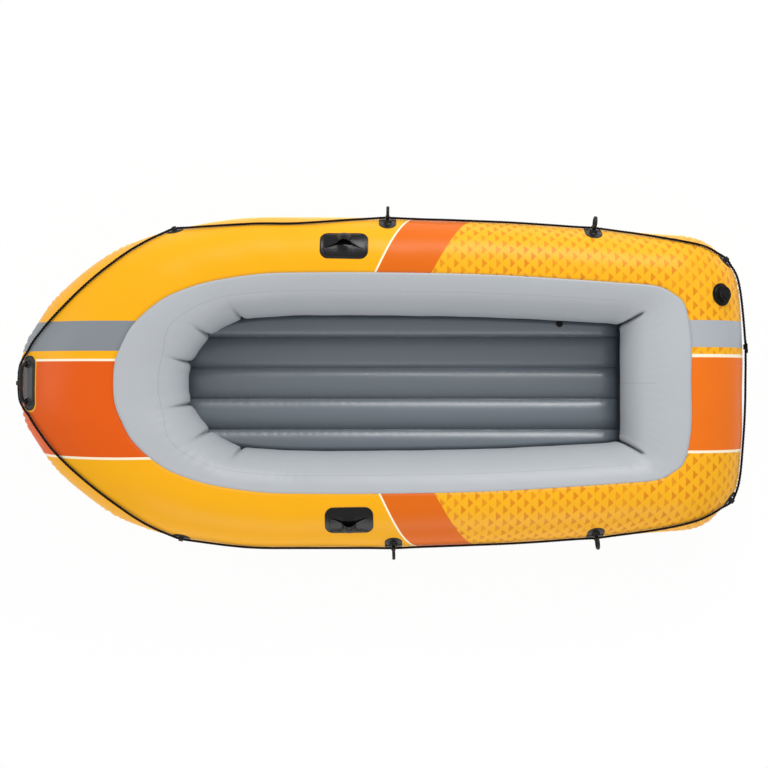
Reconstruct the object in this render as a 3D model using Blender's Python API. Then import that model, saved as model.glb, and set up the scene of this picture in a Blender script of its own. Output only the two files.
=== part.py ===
"""Inflatable boat with two hull chambers and an air floor of five lengthwise channels.

Metres, +Z up. The bow points along -X, the stern along +X and the starboard side along +Y.
The origin is on the ground below the middle of the whole boat's box.

The hull is a tube that runs once round the cockpit. It is described by stations: at each one the
tube has an outer point, an inner point and a section that stands on the line between them. The
outer, yellow chamber and the inner, grey chamber share that section, one on each side of a wall.
"""

import math

import bmesh
import bpy
import numpy as np
from mathutils import Matrix, Vector

# Hull, in plan
HULL_LENGTH = 2.3305
HULL_BEAM = 1.076
BOW_TUBE_WIDTH = 0.534
SIDE_TUBE_WIDTH = 0.316
STERN_TUBE_WIDTH = 0.3915

# Hull, in height
SIDE_TUBE_HEIGHT = 0.330
BOW_TUBE_HEIGHT = 0.380
BOW_RISE = 0.030
BASE_FLAT_DEPTH = 0.003

# Film and welds
SKIN = 0.00075
JOINT_GAP = 0.0003
CHAMBER_GAP = 0.0004
SEAM_FLANGE_WIDTH = 0.004
SEAM_FLANGE_THICKNESS = 0.0015
CREASE_DEPTH = 0.011

# Air floor; its channels together are this share of the cockpit's width
FLOOR_SPREAD_SHARE = 1.1656
CHANNEL_COUNT = 5
FLOOR_SHEET_HEIGHT = 0.005
FLOOR_VALLEY_HEIGHT = 0.050
FLOOR_CROWN_HEIGHT = 0.073
FLOOR_EDGE_ROUND = 0.045
FLOOR_CLEARANCE = 0.002
WEB_END_MARGIN = 0.012

# Grab line
ROPE_DIAMETER = 0.008
ROPE_HEIGHT = 0.0073
ROPE_BORE_RADIUS = 0.0052
ROPE_SLACK = 0.002
ROPE_ANGLE = math.radians(20)
ROPE_RISE_ANGLE = math.radians(19)
ROPE_BOW_RISE_ANGLE = math.radians(28)
ROPE_BOW_ANGLE = math.radians(8)
ROPE_STRAIGHT = 0.009
ROPE_STERN_SLACK = 0.0045
ROPE_MOST_SPACING = 0.100
KNOT_LENGTH = 0.022
KNOT_RADIUS = 0.0085
KNOT_BEAM_SHARE = 0.2175

# Moulded fittings in general
PATCH_THICKNESS = 0.002
PATCH_DEPTH = 0.045
LUG_LENGTH = 0.014
LUG_WALL = 0.0026
FITTING_ROOT = 0.012
HOLDER_RADIUS = 0.029
BOW_HOLDER_RADIUS = 0.019
CUT_OVERRUN = 0.010

# Rope holders, by their shares of the hull's length from the bow's tip
BOW_HOLDER_SHARES = {"starboard": 0.2125, "port": 0.2215}
STERN_HOLDER_SHARES = {"starboard": 0.9707, "port": 0.9780}

# Oar locks, by their shares of the hull's length
OAR_LOCK_SHARES = {
    "front_starboard": 0.5047,
    "rear_starboard": 0.7870,
    "front_port": 0.5128,
    "rear_port": 0.7904,
}
OAR_LOCK_ANGLE = math.radians(31)
OAR_LOCK_PATCH_WIDTH = 0.056
OAR_LOCK_PATCH_HEIGHT = 0.098
OAR_LOCK_PATCH_DROP = 0.012
OAR_BOSS_RADIUS = 0.0125
OAR_BOSS_HEIGHT = 0.012
OAR_NECK_RADIUS = 0.0055
OAR_BUTTON_RADIUS = 0.0085
OAR_BUTTON_THICKNESS = 0.003
OAR_SOCKET_FLOOR = 0.0035
OAR_RUNNING_GAP = 0.0004
OAR_RING_RADIUS = 0.0175
OAR_RING_HALF_WALL = 0.0035
OAR_RING_HALF_WIDTH = 0.005
OAR_RING_LIFT = 0.001

# Oar holders, by their shares of the hull's length
OAR_HOLDER_SHARES = {"starboard": 0.4459, "port": 0.4528}
OAR_HOLDER_ANGLE = math.radians(70)
OAR_HOLDER_LENGTH = 0.152
OAR_HOLDER_WIDTH = 0.090
OAR_HOLDER_CORNER = 0.026
HOOD_HALF_LENGTH = 0.062
HOOD_ARCH_HALF_WIDTH = 0.022
HOOD_ARCH_HEIGHT = 0.024
HOOD_FLANK_HEIGHT = 0.010
HOOD_ARCH_MOUTH_Y = -0.008
HOOD_FLANK_MOUTH_Y = 0.011
HOOD_BACK_Y = -0.040
HOOD_WALL = 0.0025

# Bow handle
HANDLE_ANGLE = math.radians(36.5)
HANDLE_PATCH_LENGTH = 0.172
HANDLE_PATCH_WIDTH = 0.070
HANDLE_PATCH_CORNER = 0.028
HANDLE_POST_SPACING = 0.116
HANDLE_STANDOFF = 0.025
GRIP_RADIUS = 0.0065
POST_RADIUS = 0.0095
POST_HEIGHT = 0.003

# Screwed valve of the main chamber, by its share of the hull's half beam
MAIN_VALVE_BEAM_SHARE = 0.5186
MAIN_VALVE_ANGLE = math.radians(57)
VALVE_FLANGE_RADIUS = 0.0365
VALVE_COLLAR_RADIUS = 0.027
VALVE_COLLAR_HEIGHT = 0.010
VALVE_BORE_RADIUS = 0.0195
VALVE_BOOT_WALL = 0.0018
VALVE_BOOT_DEPTH = 0.024
VALVE_HOLE_CLEARANCE = 0.0006
VALVE_RUNNING_GAP = 0.0004
GASKET_THICKNESS = 0.0015
GASKET_WIDTH = 0.004
INSERT_FLANGE_RADIUS = 0.0245
INSERT_FLANGE_THICKNESS = 0.005
INSERT_DEPTH = 0.014
INLET_RADIUS = 0.0103
INLET_DEPTH = 0.0040
AIRWAY_RADIUS = 0.0075
CAP_RADIUS = 0.0135
CAP_THICKNESS = 0.0035
CAP_PLUG_RADIUS = 0.0096
CAP_PLUG_DEPTH = 0.0028
CAP_ARM_WIDTH = 0.0046
CAP_EAR_WIDTH = 0.005
CAP_SWING_ROOM = 0.0022
CAP_ARM_THICKNESS = 0.002
CAP_HINGE_Y = 0.0185
FLAP_RADIUS = 0.0165
FLAP_THICKNESS = 0.0012
FLAP_HINGE_Y = -0.0120

# Small plugged valves, by their shares of the cockpit's length; the floor's stands so many channels
# away from the middle
INNER_VALVE_SHARE = 0.8471
INNER_VALVE_ANGLE = math.radians(203)
FLOOR_VALVE_SHARE = 0.8663
FLOOR_VALVE_CHANNEL_SHARE = 1.918
STEM_FLANGE_RADIUS = 0.0120
STEM_FLANGE_THICKNESS = 0.0015
STEM_RADIUS = 0.0070
STEM_DEPTH = 0.016
STEM_BORE_RADIUS = 0.0040
PLUG_RADIUS = 0.0082
PLUG_THICKNESS = 0.003
PLUG_PIN_CLEARANCE = 0.0003
PLUG_PIN_DEPTH = 0.010

# Fineness of the facets
STATIONS_PER_ROW = 2
MAIN_ARC_STEPS = 11
INNER_ARC_STEPS = 9
ROUND_STEPS = 32
FINE_STEPS = 24
CHANNEL_STEPS = 6
FLOOR_STEPS = 17
FLOOR_EVEN_SHARE = 0.7

# One row per place round the half hull, bow to stern: the outer point's share of the hull's length
# and half beam, then the inner point's share of the cockpit's length and half width, then the share
# of the way from the inner to the outer point at which the wall between the chambers stands
HULL_ROW_SHARES = (
    (0.0000, 0.000, 0.0000, 0.000, 0.375),
    (0.0045, 0.200, 0.0010, 0.150, 0.375),
    (0.0215, 0.344, 0.0075, 0.300, 0.380),
    (0.0540, 0.535, 0.0260, 0.500, 0.395),
    (0.1150, 0.755, 0.0500, 0.680, 0.395),
    (0.1670, 0.865, 0.0800, 0.820, 0.385),
    (0.2280, 0.940, 0.1220, 0.925, 0.380),
    (0.3045, 0.994, 0.2100, 0.985, 0.390),
    (0.3890, 1.000, 0.2950, 1.000, 0.395),
    (0.5120, 0.993, 0.4700, 0.995, 0.400),
    (0.6680, 0.972, 0.7000, 0.967, 0.400),
    (0.8590, 0.907, 0.9300, 0.895, 0.400),
    (0.9350, 0.873, 0.9800, 0.872, 0.400),
    (0.9705, 0.764, 0.9965, 0.845, 0.415),
    (0.9910, 0.632, 1.0000, 0.720, 0.455),
    (0.9985, 0.350, 1.0000, 0.380, 0.485),
    (1.0000, 0.000, 1.0000, 0.000, 0.480),
)
CREASE_ROW_SHARES = (2, 4, 6, 13)
CREASE_REACH_SHARE = 0.75
CREASE_START_SHARE = 0.30
BOW_SWEEP_SHARE = 0.36
HOOD_ROUND_SHARE = 0.9
ROPE_RISE_ROWS_SHARE = 1.5
ROPE_LEVEL_ROW_SHARE = 14
ROPE_BOW_ROW_SHARE = 5

LAST_ROW = len(HULL_ROW_SHARES) - 1
LUG_REACH = ROPE_HEIGHT + ROPE_BORE_RADIUS + LUG_WALL
STERN_REACH = ROPE_STERN_SLACK + KNOT_RADIUS
BOW_TIP_X = -(HULL_LENGTH + STERN_REACH - LUG_REACH) / 2
COCKPIT_FRONT_X = BOW_TIP_X + BOW_TUBE_WIDTH
COCKPIT_LENGTH = HULL_LENGTH - BOW_TUBE_WIDTH - STERN_TUBE_WIDTH
COCKPIT_HALF_WIDTH = HULL_BEAM / 2 - SIDE_TUBE_WIDTH
KNOT_Y = KNOT_BEAM_SHARE * HULL_BEAM / 2
MAIN_VALVE_Y = MAIN_VALVE_BEAM_SHARE * HULL_BEAM / 2
CHANNEL_PITCH = FLOOR_SPREAD_SHARE * 2 * COCKPIT_HALF_WIDTH / CHANNEL_COUNT
INNER_VALVE_X = COCKPIT_FRONT_X + INNER_VALVE_SHARE * COCKPIT_LENGTH
FLOOR_VALVE_X = COCKPIT_FRONT_X + FLOOR_VALVE_SHARE * COCKPIT_LENGTH
FLOOR_VALVE_Y = FLOOR_VALVE_CHANNEL_SHARE * CHANNEL_PITCH
SIDES = {"starboard": 1, "port": -1}


# Materials

def make_material(name, colour, roughness, metallic=0.0):
    material = bpy.data.materials.new(name)
    material.use_nodes = True
    shader = material.node_tree.nodes["Principled BSDF"]
    shader.inputs["Base Color"].default_value = (*colour, 1.0)
    shader.inputs["Roughness"].default_value = roughness
    shader.inputs["Metallic"].default_value = metallic
    material.diffuse_color = (*colour, 1.0)
    return material


COLOURS = {
    "yellow_vinyl": ((0.93, 0.49, 0.05), 0.35),
    "light_grey_vinyl": ((0.45, 0.49, 0.52), 0.40),
    "dark_grey_vinyl": ((0.13, 0.15, 0.17), 0.40),
    "black_moulding": ((0.025, 0.025, 0.027), 0.40),
    "black_rope": ((0.015, 0.013, 0.014), 0.80),
    "clear_flap": ((0.60, 0.62, 0.60), 0.30),
}


# Mesh helpers

def new_object(name, points, faces, colour, place=None):
    """An object with this mesh and its own material; place is the matrix that carries it."""
    mesh = bpy.data.meshes.new(name)
    mesh.from_pydata([tuple(p) for p in points], [], [tuple(f) for f in faces])
    mesh.update()
    item = bpy.data.objects.new(name, mesh)
    bpy.context.scene.collection.objects.link(item)
    if place is not None:
        item.matrix_world = place
    if colour:
        mesh.materials.append(make_material(name, *COLOURS[colour]))
    mesh.shade_smooth()
    mesh.set_sharp_from_angle(angle=math.radians(40))
    return item


def as_helper(item):
    """A cutter or a guide, which is no part of the boat."""
    item.hide_render = True
    item.display_type = "WIRE"
    return item


def combine(target, helper, operation):
    """Adds a Boolean with this helper to the target."""
    modifier = target.modifiers.new(helper.name, "BOOLEAN")
    modifier.operation = operation
    modifier.object = as_helper(helper)
    return target


def signed_volume(points, faces):
    total = 0.0
    for face in faces:
        first = points[face[0]]
        for one, two in zip(face[1:-1], face[2:]):
            total += np.dot(first, np.cross(points[one], points[two]))
    return total / 6


def facing_out(points, faces):
    points = np.asarray(points, float)
    if signed_volume(points, faces) < 0:
        return [tuple(reversed(face)) for face in faces]
    return [tuple(face) for face in faces]


def ring_faces(rings, around, loop, start=0):
    """Quads of a tube made of rings; loop joins the last ring to the first, and else caps close it."""
    faces = []
    for i in range(rings if loop else rings - 1):
        here = start + i * around
        there = start + ((i + 1) % rings) * around
        for j in range(around):
            k = (j + 1) % around
            faces.append((here + j, here + k, there + k, there + j))
    if not loop:
        faces.append(tuple(start + j for j in range(around))[::-1])
        faces.append(tuple(start + (rings - 1) * around + j for j in range(around)))
    return faces


def prism(name, outline, low, high, place, colour=None):
    """The outline, a list of (x, y), drawn out along its own z from low to high."""
    points = [(x, y, z) for z in (low, high) for x, y in outline]
    faces = facing_out(points, ring_faces(2, len(outline), False))
    return new_object(name, points, faces, colour, place)


def turned(name, profile, place, colour=None, steps=FINE_STEPS):
    """A closed profile of (radius, z) turned about its own z; a radius of zero lies on the axis."""
    mesh = bmesh.new()
    corners = [mesh.verts.new((r, 0, z)) for r, z in profile]
    edges = [mesh.edges.new(pair) for pair in zip(corners, corners[1:] + corners[:1])]
    bmesh.ops.spin(
        mesh,
        geom=corners + edges,
        cent=(0, 0, 0),
        axis=(0, 0, 1),
        angle=2 * math.pi,
        steps=steps,
        use_merge=True,
    )
    bmesh.ops.remove_doubles(mesh, verts=mesh.verts, dist=SKIN / 100)
    loose = [face for face in mesh.faces if face.calc_area() < SKIN * SKIN / 100]
    bmesh.ops.delete(mesh, geom=loose, context="FACES")
    points = [tuple(v.co) for v in mesh.verts]
    mesh.verts.index_update()
    faces = [tuple(v.index for v in face.verts) for face in mesh.faces]
    mesh.free()
    return new_object(name, points, facing_out(points, consistent(faces)), colour, place)


def consistent(faces):
    """The same faces, each turned so that neighbours run the same way round."""
    by_edge = {}
    for index, face in enumerate(faces):
        for pair in zip(face, face[1:] + face[:1]):
            by_edge.setdefault(frozenset(pair), []).append(index)
    turned_faces = dict()
    waiting = [0]
    turned_faces[0] = faces[0]
    while waiting:
        face = turned_faces[waiting[-1]]
        waiting.pop()
        for pair in zip(face, face[1:] + face[:1]):
            for other in by_edge[frozenset(pair)]:
                if other in turned_faces:
                    continue
                shape = faces[other]
                pairs = list(zip(shape, shape[1:] + shape[:1]))
                turned_faces[other] = shape[::-1] if pair in pairs else shape
                waiting.append(other)
    return [turned_faces[i] for i in sorted(turned_faces)]


def circle(radius, steps=ROUND_STEPS, centre=(0, 0)):
    angles = [2 * math.pi * i / steps for i in range(steps)]
    return [(centre[0] + radius * math.cos(a), centre[1] + radius * math.sin(a)) for a in angles]


def rounded_rectangle(length, width, radius, centre=(0, 0), corner_steps=6):
    points = []
    for quarter, (sx, sy) in enumerate(((1, 1), (-1, 1), (-1, -1), (1, -1))):
        cx = centre[0] + sx * (length / 2 - radius)
        cy = centre[1] + sy * (width / 2 - radius)
        for i in range(corner_steps + 1):
            a = math.pi / 2 * (quarter + i / corner_steps)
            points.append((cx + radius * math.cos(a), cy + radius * math.sin(a)))
    return points


# Hull geometry

def smooth(share):
    share = min(max(share, 0.0), 1.0)
    return share * share * (3 - 2 * share)


def row_shares(index):
    """A row of the table, mirrored past the bow and the stern."""
    mirror = 1
    if index < 0:
        index, mirror = -index, -1
    if index > LAST_ROW:
        index, mirror = 2 * LAST_ROW - index, -mirror
    row = HULL_ROW_SHARES[index]
    return np.array((row[0], mirror * row[1], row[2], mirror * row[3], row[4]))


def shares_at(t):
    """The table read at row t along a smooth curve through its rows."""
    i = min(max(int(math.floor(t)), 0), LAST_ROW - 1)
    f = t - i
    before, here, after, beyond = (row_shares(i + k) for k in (-1, 0, 1, 2))
    return (
        here
        + (after - before) * f / 2
        + (2 * before - 5 * here + 4 * after - beyond) * f**2 / 2
        + (3 * here - before - 3 * after + beyond) * f**3 / 2
    )


class Station:
    """The tube's section at row t on one side of the boat."""

    def __init__(self, t, side):
        self.t, self.side = t, side
        shares = shares_at(t)
        outer = np.array((BOW_TIP_X + shares[0] * HULL_LENGTH, side * shares[1] * HULL_BEAM / 2))
        inner = np.array(
            (
                COCKPIT_FRONT_X + shares[2] * COCKPIT_LENGTH,
                side * shares[3] * COCKPIT_HALF_WIDTH,
            )
        )
        bow = smooth(1 - shares[0] / BOW_SWEEP_SHARE)
        span = np.linalg.norm(outer - inner)
        self.half_width = span / 2
        self.outward = (outer - inner) / span
        self.middle = (outer + inner) / 2
        height = SIDE_TUBE_HEIGHT + bow * (BOW_TUBE_HEIGHT - SIDE_TUBE_HEIGHT)
        self.base = BOW_RISE * bow
        self.half_height = (height + BASE_FLAT_DEPTH) / 2
        self.centre_z = self.base + self.half_height - BASE_FLAT_DEPTH
        self.wall_offset = self.half_width * (1 - 2 * shares[4])
        self.low_angle = math.asin(1 - BASE_FLAT_DEPTH / self.half_height)

    def crease(self, angle):
        """How far a sewn-in fold draws the inner side of the tube towards its middle."""
        nearest = min(abs(self.t - row) for row in CREASE_ROW_SHARES)
        along = max(0.0, 1 - nearest / CREASE_REACH_SHARE) ** 2
        rising = (angle - math.pi / 2) / (math.pi / 2)
        return CREASE_DEPTH * along * smooth((rising - CREASE_START_SHARE) / (1 - CREASE_START_SHARE))

    def on_section(self, angle):
        """(u, z) on the section; u runs outward from the middle, angle from outward to up."""
        u = self.half_width * math.cos(angle)
        if angle > math.pi / 2:
            u += self.crease(min(angle, 2 * math.pi - angle))
        return u, self.centre_z + self.half_height * math.sin(angle)

    def world(self, u, z):
        x, y = self.middle + self.outward * u
        return np.array((x, y, z))

    def main_section(self):
        """The outer chamber's outline: crown, outside, flat base, and back up along the wall."""
        top = math.acos(-self.wall_offset / self.half_width)
        angles = np.linspace(top, -self.low_angle, MAIN_ARC_STEPS + 1)
        return [self.on_section(a) for a in angles] + [(0.0, self.base)]

    def inner_section(self):
        """The inner chamber's outline: flat base, inner side, crown, and back down the wall."""
        top = math.acos(-(self.wall_offset + CHAMBER_GAP) / self.half_width)
        angles = np.linspace(math.pi + self.low_angle, top, INNER_ARC_STEPS + 1)
        return [(-CHAMBER_GAP, self.base)] + [self.on_section(a) for a in angles]

    def whole_section(self):
        return self.main_section()[:-1] + self.inner_section()[1:-1]

    def inside_reach(self, height):
        """The point of the tube's inner side at this height above its base."""
        us, zs = zip(*self.inner_section()[1:])
        return self.middle + self.outward * float(np.interp(self.base + height, zs, us))


def moved_outline(outline, distance):
    """A closed outline with every edge moved outward by distance; less than zero moves it in."""
    points = np.asarray(outline, float)
    ahead = np.roll(points, -1, axis=0)
    if np.sum(points[:, 0] * ahead[:, 1] - ahead[:, 0] * points[:, 1]) > 0:
        turn = 1
    else:
        turn = -1
    edge = ahead - points
    edge /= np.linalg.norm(edge, axis=1)[:, None]
    normal = turn * np.column_stack((edge[:, 1], -edge[:, 0]))
    before = np.roll(normal, 1, axis=0)
    total = before + normal
    reach = distance * 2 / np.sum(total * total, axis=1)
    return points + total * reach[:, None]


def half_rows():
    return [i / STATIONS_PER_ROW for i in range(LAST_ROW * STATIONS_PER_ROW + 1)]


def loop_stations():
    """Stations once round the boat: bow, starboard, stern, port."""
    rows = half_rows()
    there = [Station(t, 1) for t in rows]
    back = [Station(t, -1) for t in reversed(rows[1:-1])]
    return there + back


STATIONS = loop_stations()


def swept_points(stations, sections):
    return [s.world(u, z) for s, section in zip(stations, sections) for u, z in section]


def swept_faces(stations, points, loop):
    """Triangles of the tube. Every split runs from high up at the bow end to low at the stern end,
    so that skins that lie close together are split alike and keep their distance."""
    around = len(points) // len(stations)
    faces = []
    for i in range(len(stations) if loop else len(stations) - 1):
        n = (i + 1) % len(stations)
        for j in range(around):
            k = (j + 1) % around
            a, b, c, d = i * around + j, i * around + k, n * around + k, n * around + j
            j_is_high = points[a][2] > points[b][2] - SKIN / 100
            i_is_fore = stations[i].t < stations[n].t
            if j_is_high == i_is_fore:
                faces += [(a, b, c), (a, c, d)]
            else:
                faces += [(a, b, d), (b, c, d)]
    if not loop:
        last = (len(stations) - 1) * around
        faces.append(tuple(range(around))[::-1])
        faces.append(tuple(last + j for j in range(around)))
    return facing_out(points, faces)


def hull_chamber(name, sections, colour):
    """A closed chamber of film: its outer face, and its inner face one skin inside it."""
    outside = swept_points(STATIONS, sections)
    inside = swept_points(STATIONS, [moved_outline(s, -SKIN) for s in sections])
    faces = swept_faces(STATIONS, outside, True)
    hollow = [tuple(i + len(outside) for i in reversed(face)) for face in faces]
    return new_object(name, outside + inside, faces + hollow, colour)


def hull_envelope(name, centre, reach, distance):
    """A capped stretch of the whole tube round station number centre, moved out by distance."""
    chosen = [STATIONS[(centre + i) % len(STATIONS)] for i in range(-reach, reach + 1)]
    sections = [moved_outline(s.whole_section(), distance) for s in chosen]
    points = swept_points(chosen, sections)
    return as_helper(new_object(name, points, swept_faces(chosen, points, False), None))


def surface_point(t, side, angle):
    station = Station(t, side)
    return Vector(station.world(*station.on_section(angle)))


def surface_frame(t, side, angle, height=0.0):
    """A frame on the hull: z outward, y up the tube towards its crown, x across the two."""
    step = 1 / 64
    before, after = max(t - step, 0), min(t + step, LAST_ROW)
    if t - step < 0:
        along = surface_point(after, side, angle) - surface_point(after, -side, angle)
    else:
        along = surface_point(after, side, angle) - surface_point(before, side, angle)
    upward = surface_point(t, side, angle + step) - surface_point(t, side, angle - step)
    outward = along.cross(upward)
    station = Station(t, side)
    if outward.dot(Vector((*station.outward, 0)) * math.cos(angle) + Vector((0, 0, math.sin(angle)))) < 0:
        outward.negate()
    outward.normalize()
    along = (along - outward * along.dot(outward)).normalized()
    up = outward.cross(along)
    if up.dot(upward) < 0:
        up.negate()
    across = up.cross(outward)
    origin = surface_point(t, side, angle) + outward * height
    frame = Matrix((across, up, outward)).transposed().to_4x4()
    frame.translation = origin
    return frame


def row_where(side, angle, axis, value, low=0.0, high=float(LAST_ROW)):
    """The row at which the hull's surface reaches this x (axis 0) or, with axis 1, this |y|."""

    def miss(t):
        return abs(surface_point(t, side, angle)[axis]) - value if axis else (
            surface_point(t, side, angle)[0] - value
        )

    rising = miss(high) > miss(low)
    for _ in range(40):
        middle = (low + high) / 2
        if (miss(middle) > 0) == rising:
            high = middle
        else:
            low = middle
    return (low + high) / 2


def along_hull(share):
    """The x at a share of the hull's length, from the bow's tip."""
    return BOW_TIP_X + share * HULL_LENGTH


def station_number(t, side):
    number = round(t * STATIONS_PER_ROW)
    return number if side > 0 else (len(STATIONS) - number) % len(STATIONS)


def rope_angle(t):
    return ROPE_BOW_ANGLE + (ROPE_ANGLE - ROPE_BOW_ANGLE) * smooth(t / 2)


# Hull chambers, seam and floor

def make_hull():
    main = hull_chamber("main_chamber", [s.main_section() for s in STATIONS], "yellow_vinyl")
    inner = hull_chamber("inner_chamber", [s.inner_section() for s in STATIONS], "light_grey_vinyl")
    low = -SEAM_FLANGE_THICKNESS / 2
    high = SEAM_FLANGE_THICKNESS / 2
    sections = []
    for s in STATIONS:
        edge = s.half_width + JOINT_GAP
        rim = edge + SEAM_FLANGE_WIDTH
        z = s.centre_z
        sections.append([(edge, z + low), (rim, z + low), (rim, z + high), (edge, z + high)])
    points = swept_points(STATIONS, sections)
    new_object("outer_seam_flange", points, swept_faces(STATIONS, points, True), "yellow_vinyl")
    return main, inner


def sheet_height(x):
    """Height of the bottom sheet's lower face at this x."""
    rows = [Station(t, 1) for t in half_rows()]
    places = [s.inside_reach(FLOOR_SHEET_HEIGHT + SKIN)[0] for s in rows]
    heights = [s.base + FLOOR_SHEET_HEIGHT for s in rows]
    order = np.argsort(places)
    return float(np.interp(x, np.array(places)[order], np.array(heights)[order]))


def make_bottom_sheet():
    """The sheet that closes the boat's bottom between the two sides of the tube."""
    ribs = []
    for t in half_rows()[1:-1]:
        station = Station(t, 1)
        x, y = station.inside_reach(FLOOR_SHEET_HEIGHT + SKIN + JOINT_GAP)
        low = station.base + FLOOR_SHEET_HEIGHT
        y -= JOINT_GAP
        ribs.append([(x, y, low), (x, y, low + SKIN), (x, -y, low + SKIN), (x, -y, low)])
    points = [p for rib in ribs for p in rib]
    faces = facing_out(points, ring_faces(len(ribs), len(ribs[0]), False))
    new_object("bottom_sheet", points, faces, "dark_grey_vinyl")


class FloorPlan:
    """The air floor's outline and heights."""

    def __init__(self):
        height = FLOOR_SHEET_HEIGHT + FLOOR_VALLEY_HEIGHT
        reach = [Station(t, 1).inside_reach(height) for t in half_rows()]
        reach = np.array(sorted(map(tuple, reach)))
        self.xs, self.ys = reach[:, 0], reach[:, 1]
        self.front = self.xs.min() + FLOOR_CLEARANCE
        self.aft = self.xs.max() - FLOOR_CLEARANCE

    def half_width(self, x):
        return float(np.interp(x, self.xs, self.ys)) - FLOOR_CLEARANCE

    def rounding(self, x, y):
        """0 at the rim, 1 where the floor has its full height."""
        inside = min(self.half_width(x) - abs(y), x - self.front, self.aft - x)
        share = min(max(inside / FLOOR_EDGE_ROUND, 0.0), 1.0)
        return 1 - (1 - share) ** 2

    def top(self, x, y):
        place = (abs(y) / CHANNEL_PITCH + 0.5) % 1.0
        crown = FLOOR_CROWN_HEIGHT - FLOOR_VALLEY_HEIGHT
        channel = FLOOR_VALLEY_HEIGHT + crown * math.sqrt(1 - (2 * place - 1) ** 2)
        rim = 2 * SKIN + JOINT_GAP
        return sheet_height(x) + rim + (channel - rim) * self.rounding(x, y)


def make_floor(plan):
    """The ribbed upper sheet of the air floor."""
    tip = plan.front + FLOOR_CLEARANCE
    end = plan.aft - FLOOR_CLEARANCE
    xs = [tip + (end - tip) * (1 - math.cos(math.pi * i / FLOOR_STEPS)) / 2 for i in range(FLOOR_STEPS + 1)]
    full_half = CHANNEL_PITCH * CHANNEL_COUNT / 2
    columns = np.linspace(-full_half, full_half, CHANNEL_COUNT * CHANNEL_STEPS + 1)
    top, low = [], []
    for x in xs:
        half = max(plan.half_width(x), FLOOR_CLEARANCE)
        even = half * FLOOR_EVEN_SHARE
        squeeze = (half - even) / (full_half - even)
        for column in columns:
            beyond = max(abs(column) - even, 0.0)
            y = math.copysign(min(abs(column), even) + beyond * squeeze, column)
            z = plan.top(x, y)
            top.append((x, y, z))
            low.append((x, y, z - SKIN))
    wide = len(columns)
    faces = []
    for i in range(len(xs) - 1):
        for j in range(wide - 1):
            a, b = i * wide + j, (i + 1) * wide + j
            faces += [(a, b, b + 1), (a, b + 1, a + 1)]
    under = [tuple(k + len(top) for k in reversed(face)) for face in faces]
    rim = [j for j in range(wide)]
    rim += [i * wide + wide - 1 for i in range(1, len(xs))]
    rim += [(len(xs) - 1) * wide + j for j in range(wide - 2, -1, -1)]
    rim += [i * wide for i in range(len(xs) - 2, 0, -1)]
    walls = [(a, b, b + len(top), a + len(top)) for a, b in zip(rim, rim[1:] + rim[:1])]
    every = consistent(faces + under + walls)
    return new_object("floor_top_sheet", top + low, facing_out(top + low, every), "dark_grey_vinyl")


def make_webs(plan):
    """The upright strips that tie the upper sheet down along each valley."""
    for number in range(CHANNEL_COUNT - 1):
        y = CHANNEL_PITCH * (number + 1 - CHANNEL_COUNT / 2)
        places = np.linspace(plan.front, plan.aft, 120)
        full = [x for x in places if plan.rounding(x, y) > 1 - SKIN]
        first, last = full[0] + WEB_END_MARGIN, full[-1] - WEB_END_MARGIN
        ribs = []
        for x in np.linspace(first, last, 13):
            low = sheet_height(x) + SKIN + JOINT_GAP
            high = sheet_height(x) + FLOOR_VALLEY_HEIGHT - SKIN - JOINT_GAP * 2
            near, far = y - SKIN / 2, y + SKIN / 2
            ribs.append([(x, near, low), (x, far, low), (x, far, high), (x, near, high)])
        points = [p for rib in ribs for p in rib]
        faces = facing_out(points, ring_faces(len(ribs), 4, False))
        new_object(f"floor_web_{number + 1}", points, faces, "dark_grey_vinyl")


# Moulded fittings

def conforming(name, outline, place, t, side, reach=4):
    """A moulded patch that follows the hull: it is cut to shape between two skins of the tube."""
    centre = station_number(t, side)
    outer = hull_envelope(name + "_upper_face", centre, reach, JOINT_GAP + PATCH_THICKNESS)
    under = hull_envelope(name + "_under_face", centre, reach, JOINT_GAP)
    patch = prism(name, outline, -PATCH_DEPTH, PATCH_DEPTH, place, "black_moulding")
    combine(patch, outer, "INTERSECT")
    return patch, outer, under


def lug_shape(name, place):
    """The rounded block on a patch that the grab line runs through, standing on its own frame."""
    radius = ROPE_BORE_RADIUS + LUG_WALL
    turns = [math.pi * i / 10 for i in range(11)]
    arch = [(radius * math.cos(a), ROPE_HEIGHT + radius * math.sin(a)) for a in turns]
    outline = arch + [(-radius, -FITTING_ROOT), (radius, -FITTING_ROOT)]
    points = [(x, y, z) for x in (-LUG_LENGTH / 2, LUG_LENGTH / 2) for y, z in outline]
    faces = facing_out(points, ring_faces(2, len(outline), False))
    return new_object(name, points, faces, None, place)


def rope_bore(name, place):
    """The tunnel through a lug."""
    half = LUG_LENGTH / 2 + CUT_OVERRUN
    points = [(x, y, z + ROPE_HEIGHT) for x in (-half, half) for y, z in circle(ROPE_BORE_RADIUS, 16)]
    faces = facing_out(points, ring_faces(2, 16, False))
    return new_object(name, points, faces, None, place)


def make_rope_holder(name, t, side, radius):
    place = surface_frame(t, side, rope_angle(t))
    patch, outer, under = conforming(name, circle(radius), place, t, side)
    combine(patch, lug_shape(name + "_lug", place), "UNION")
    combine(patch, under, "DIFFERENCE")
    combine(patch, rope_bore(name + "_bore", place), "DIFFERENCE")
    ROPE_STOPS.append((t, side, place))


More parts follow.
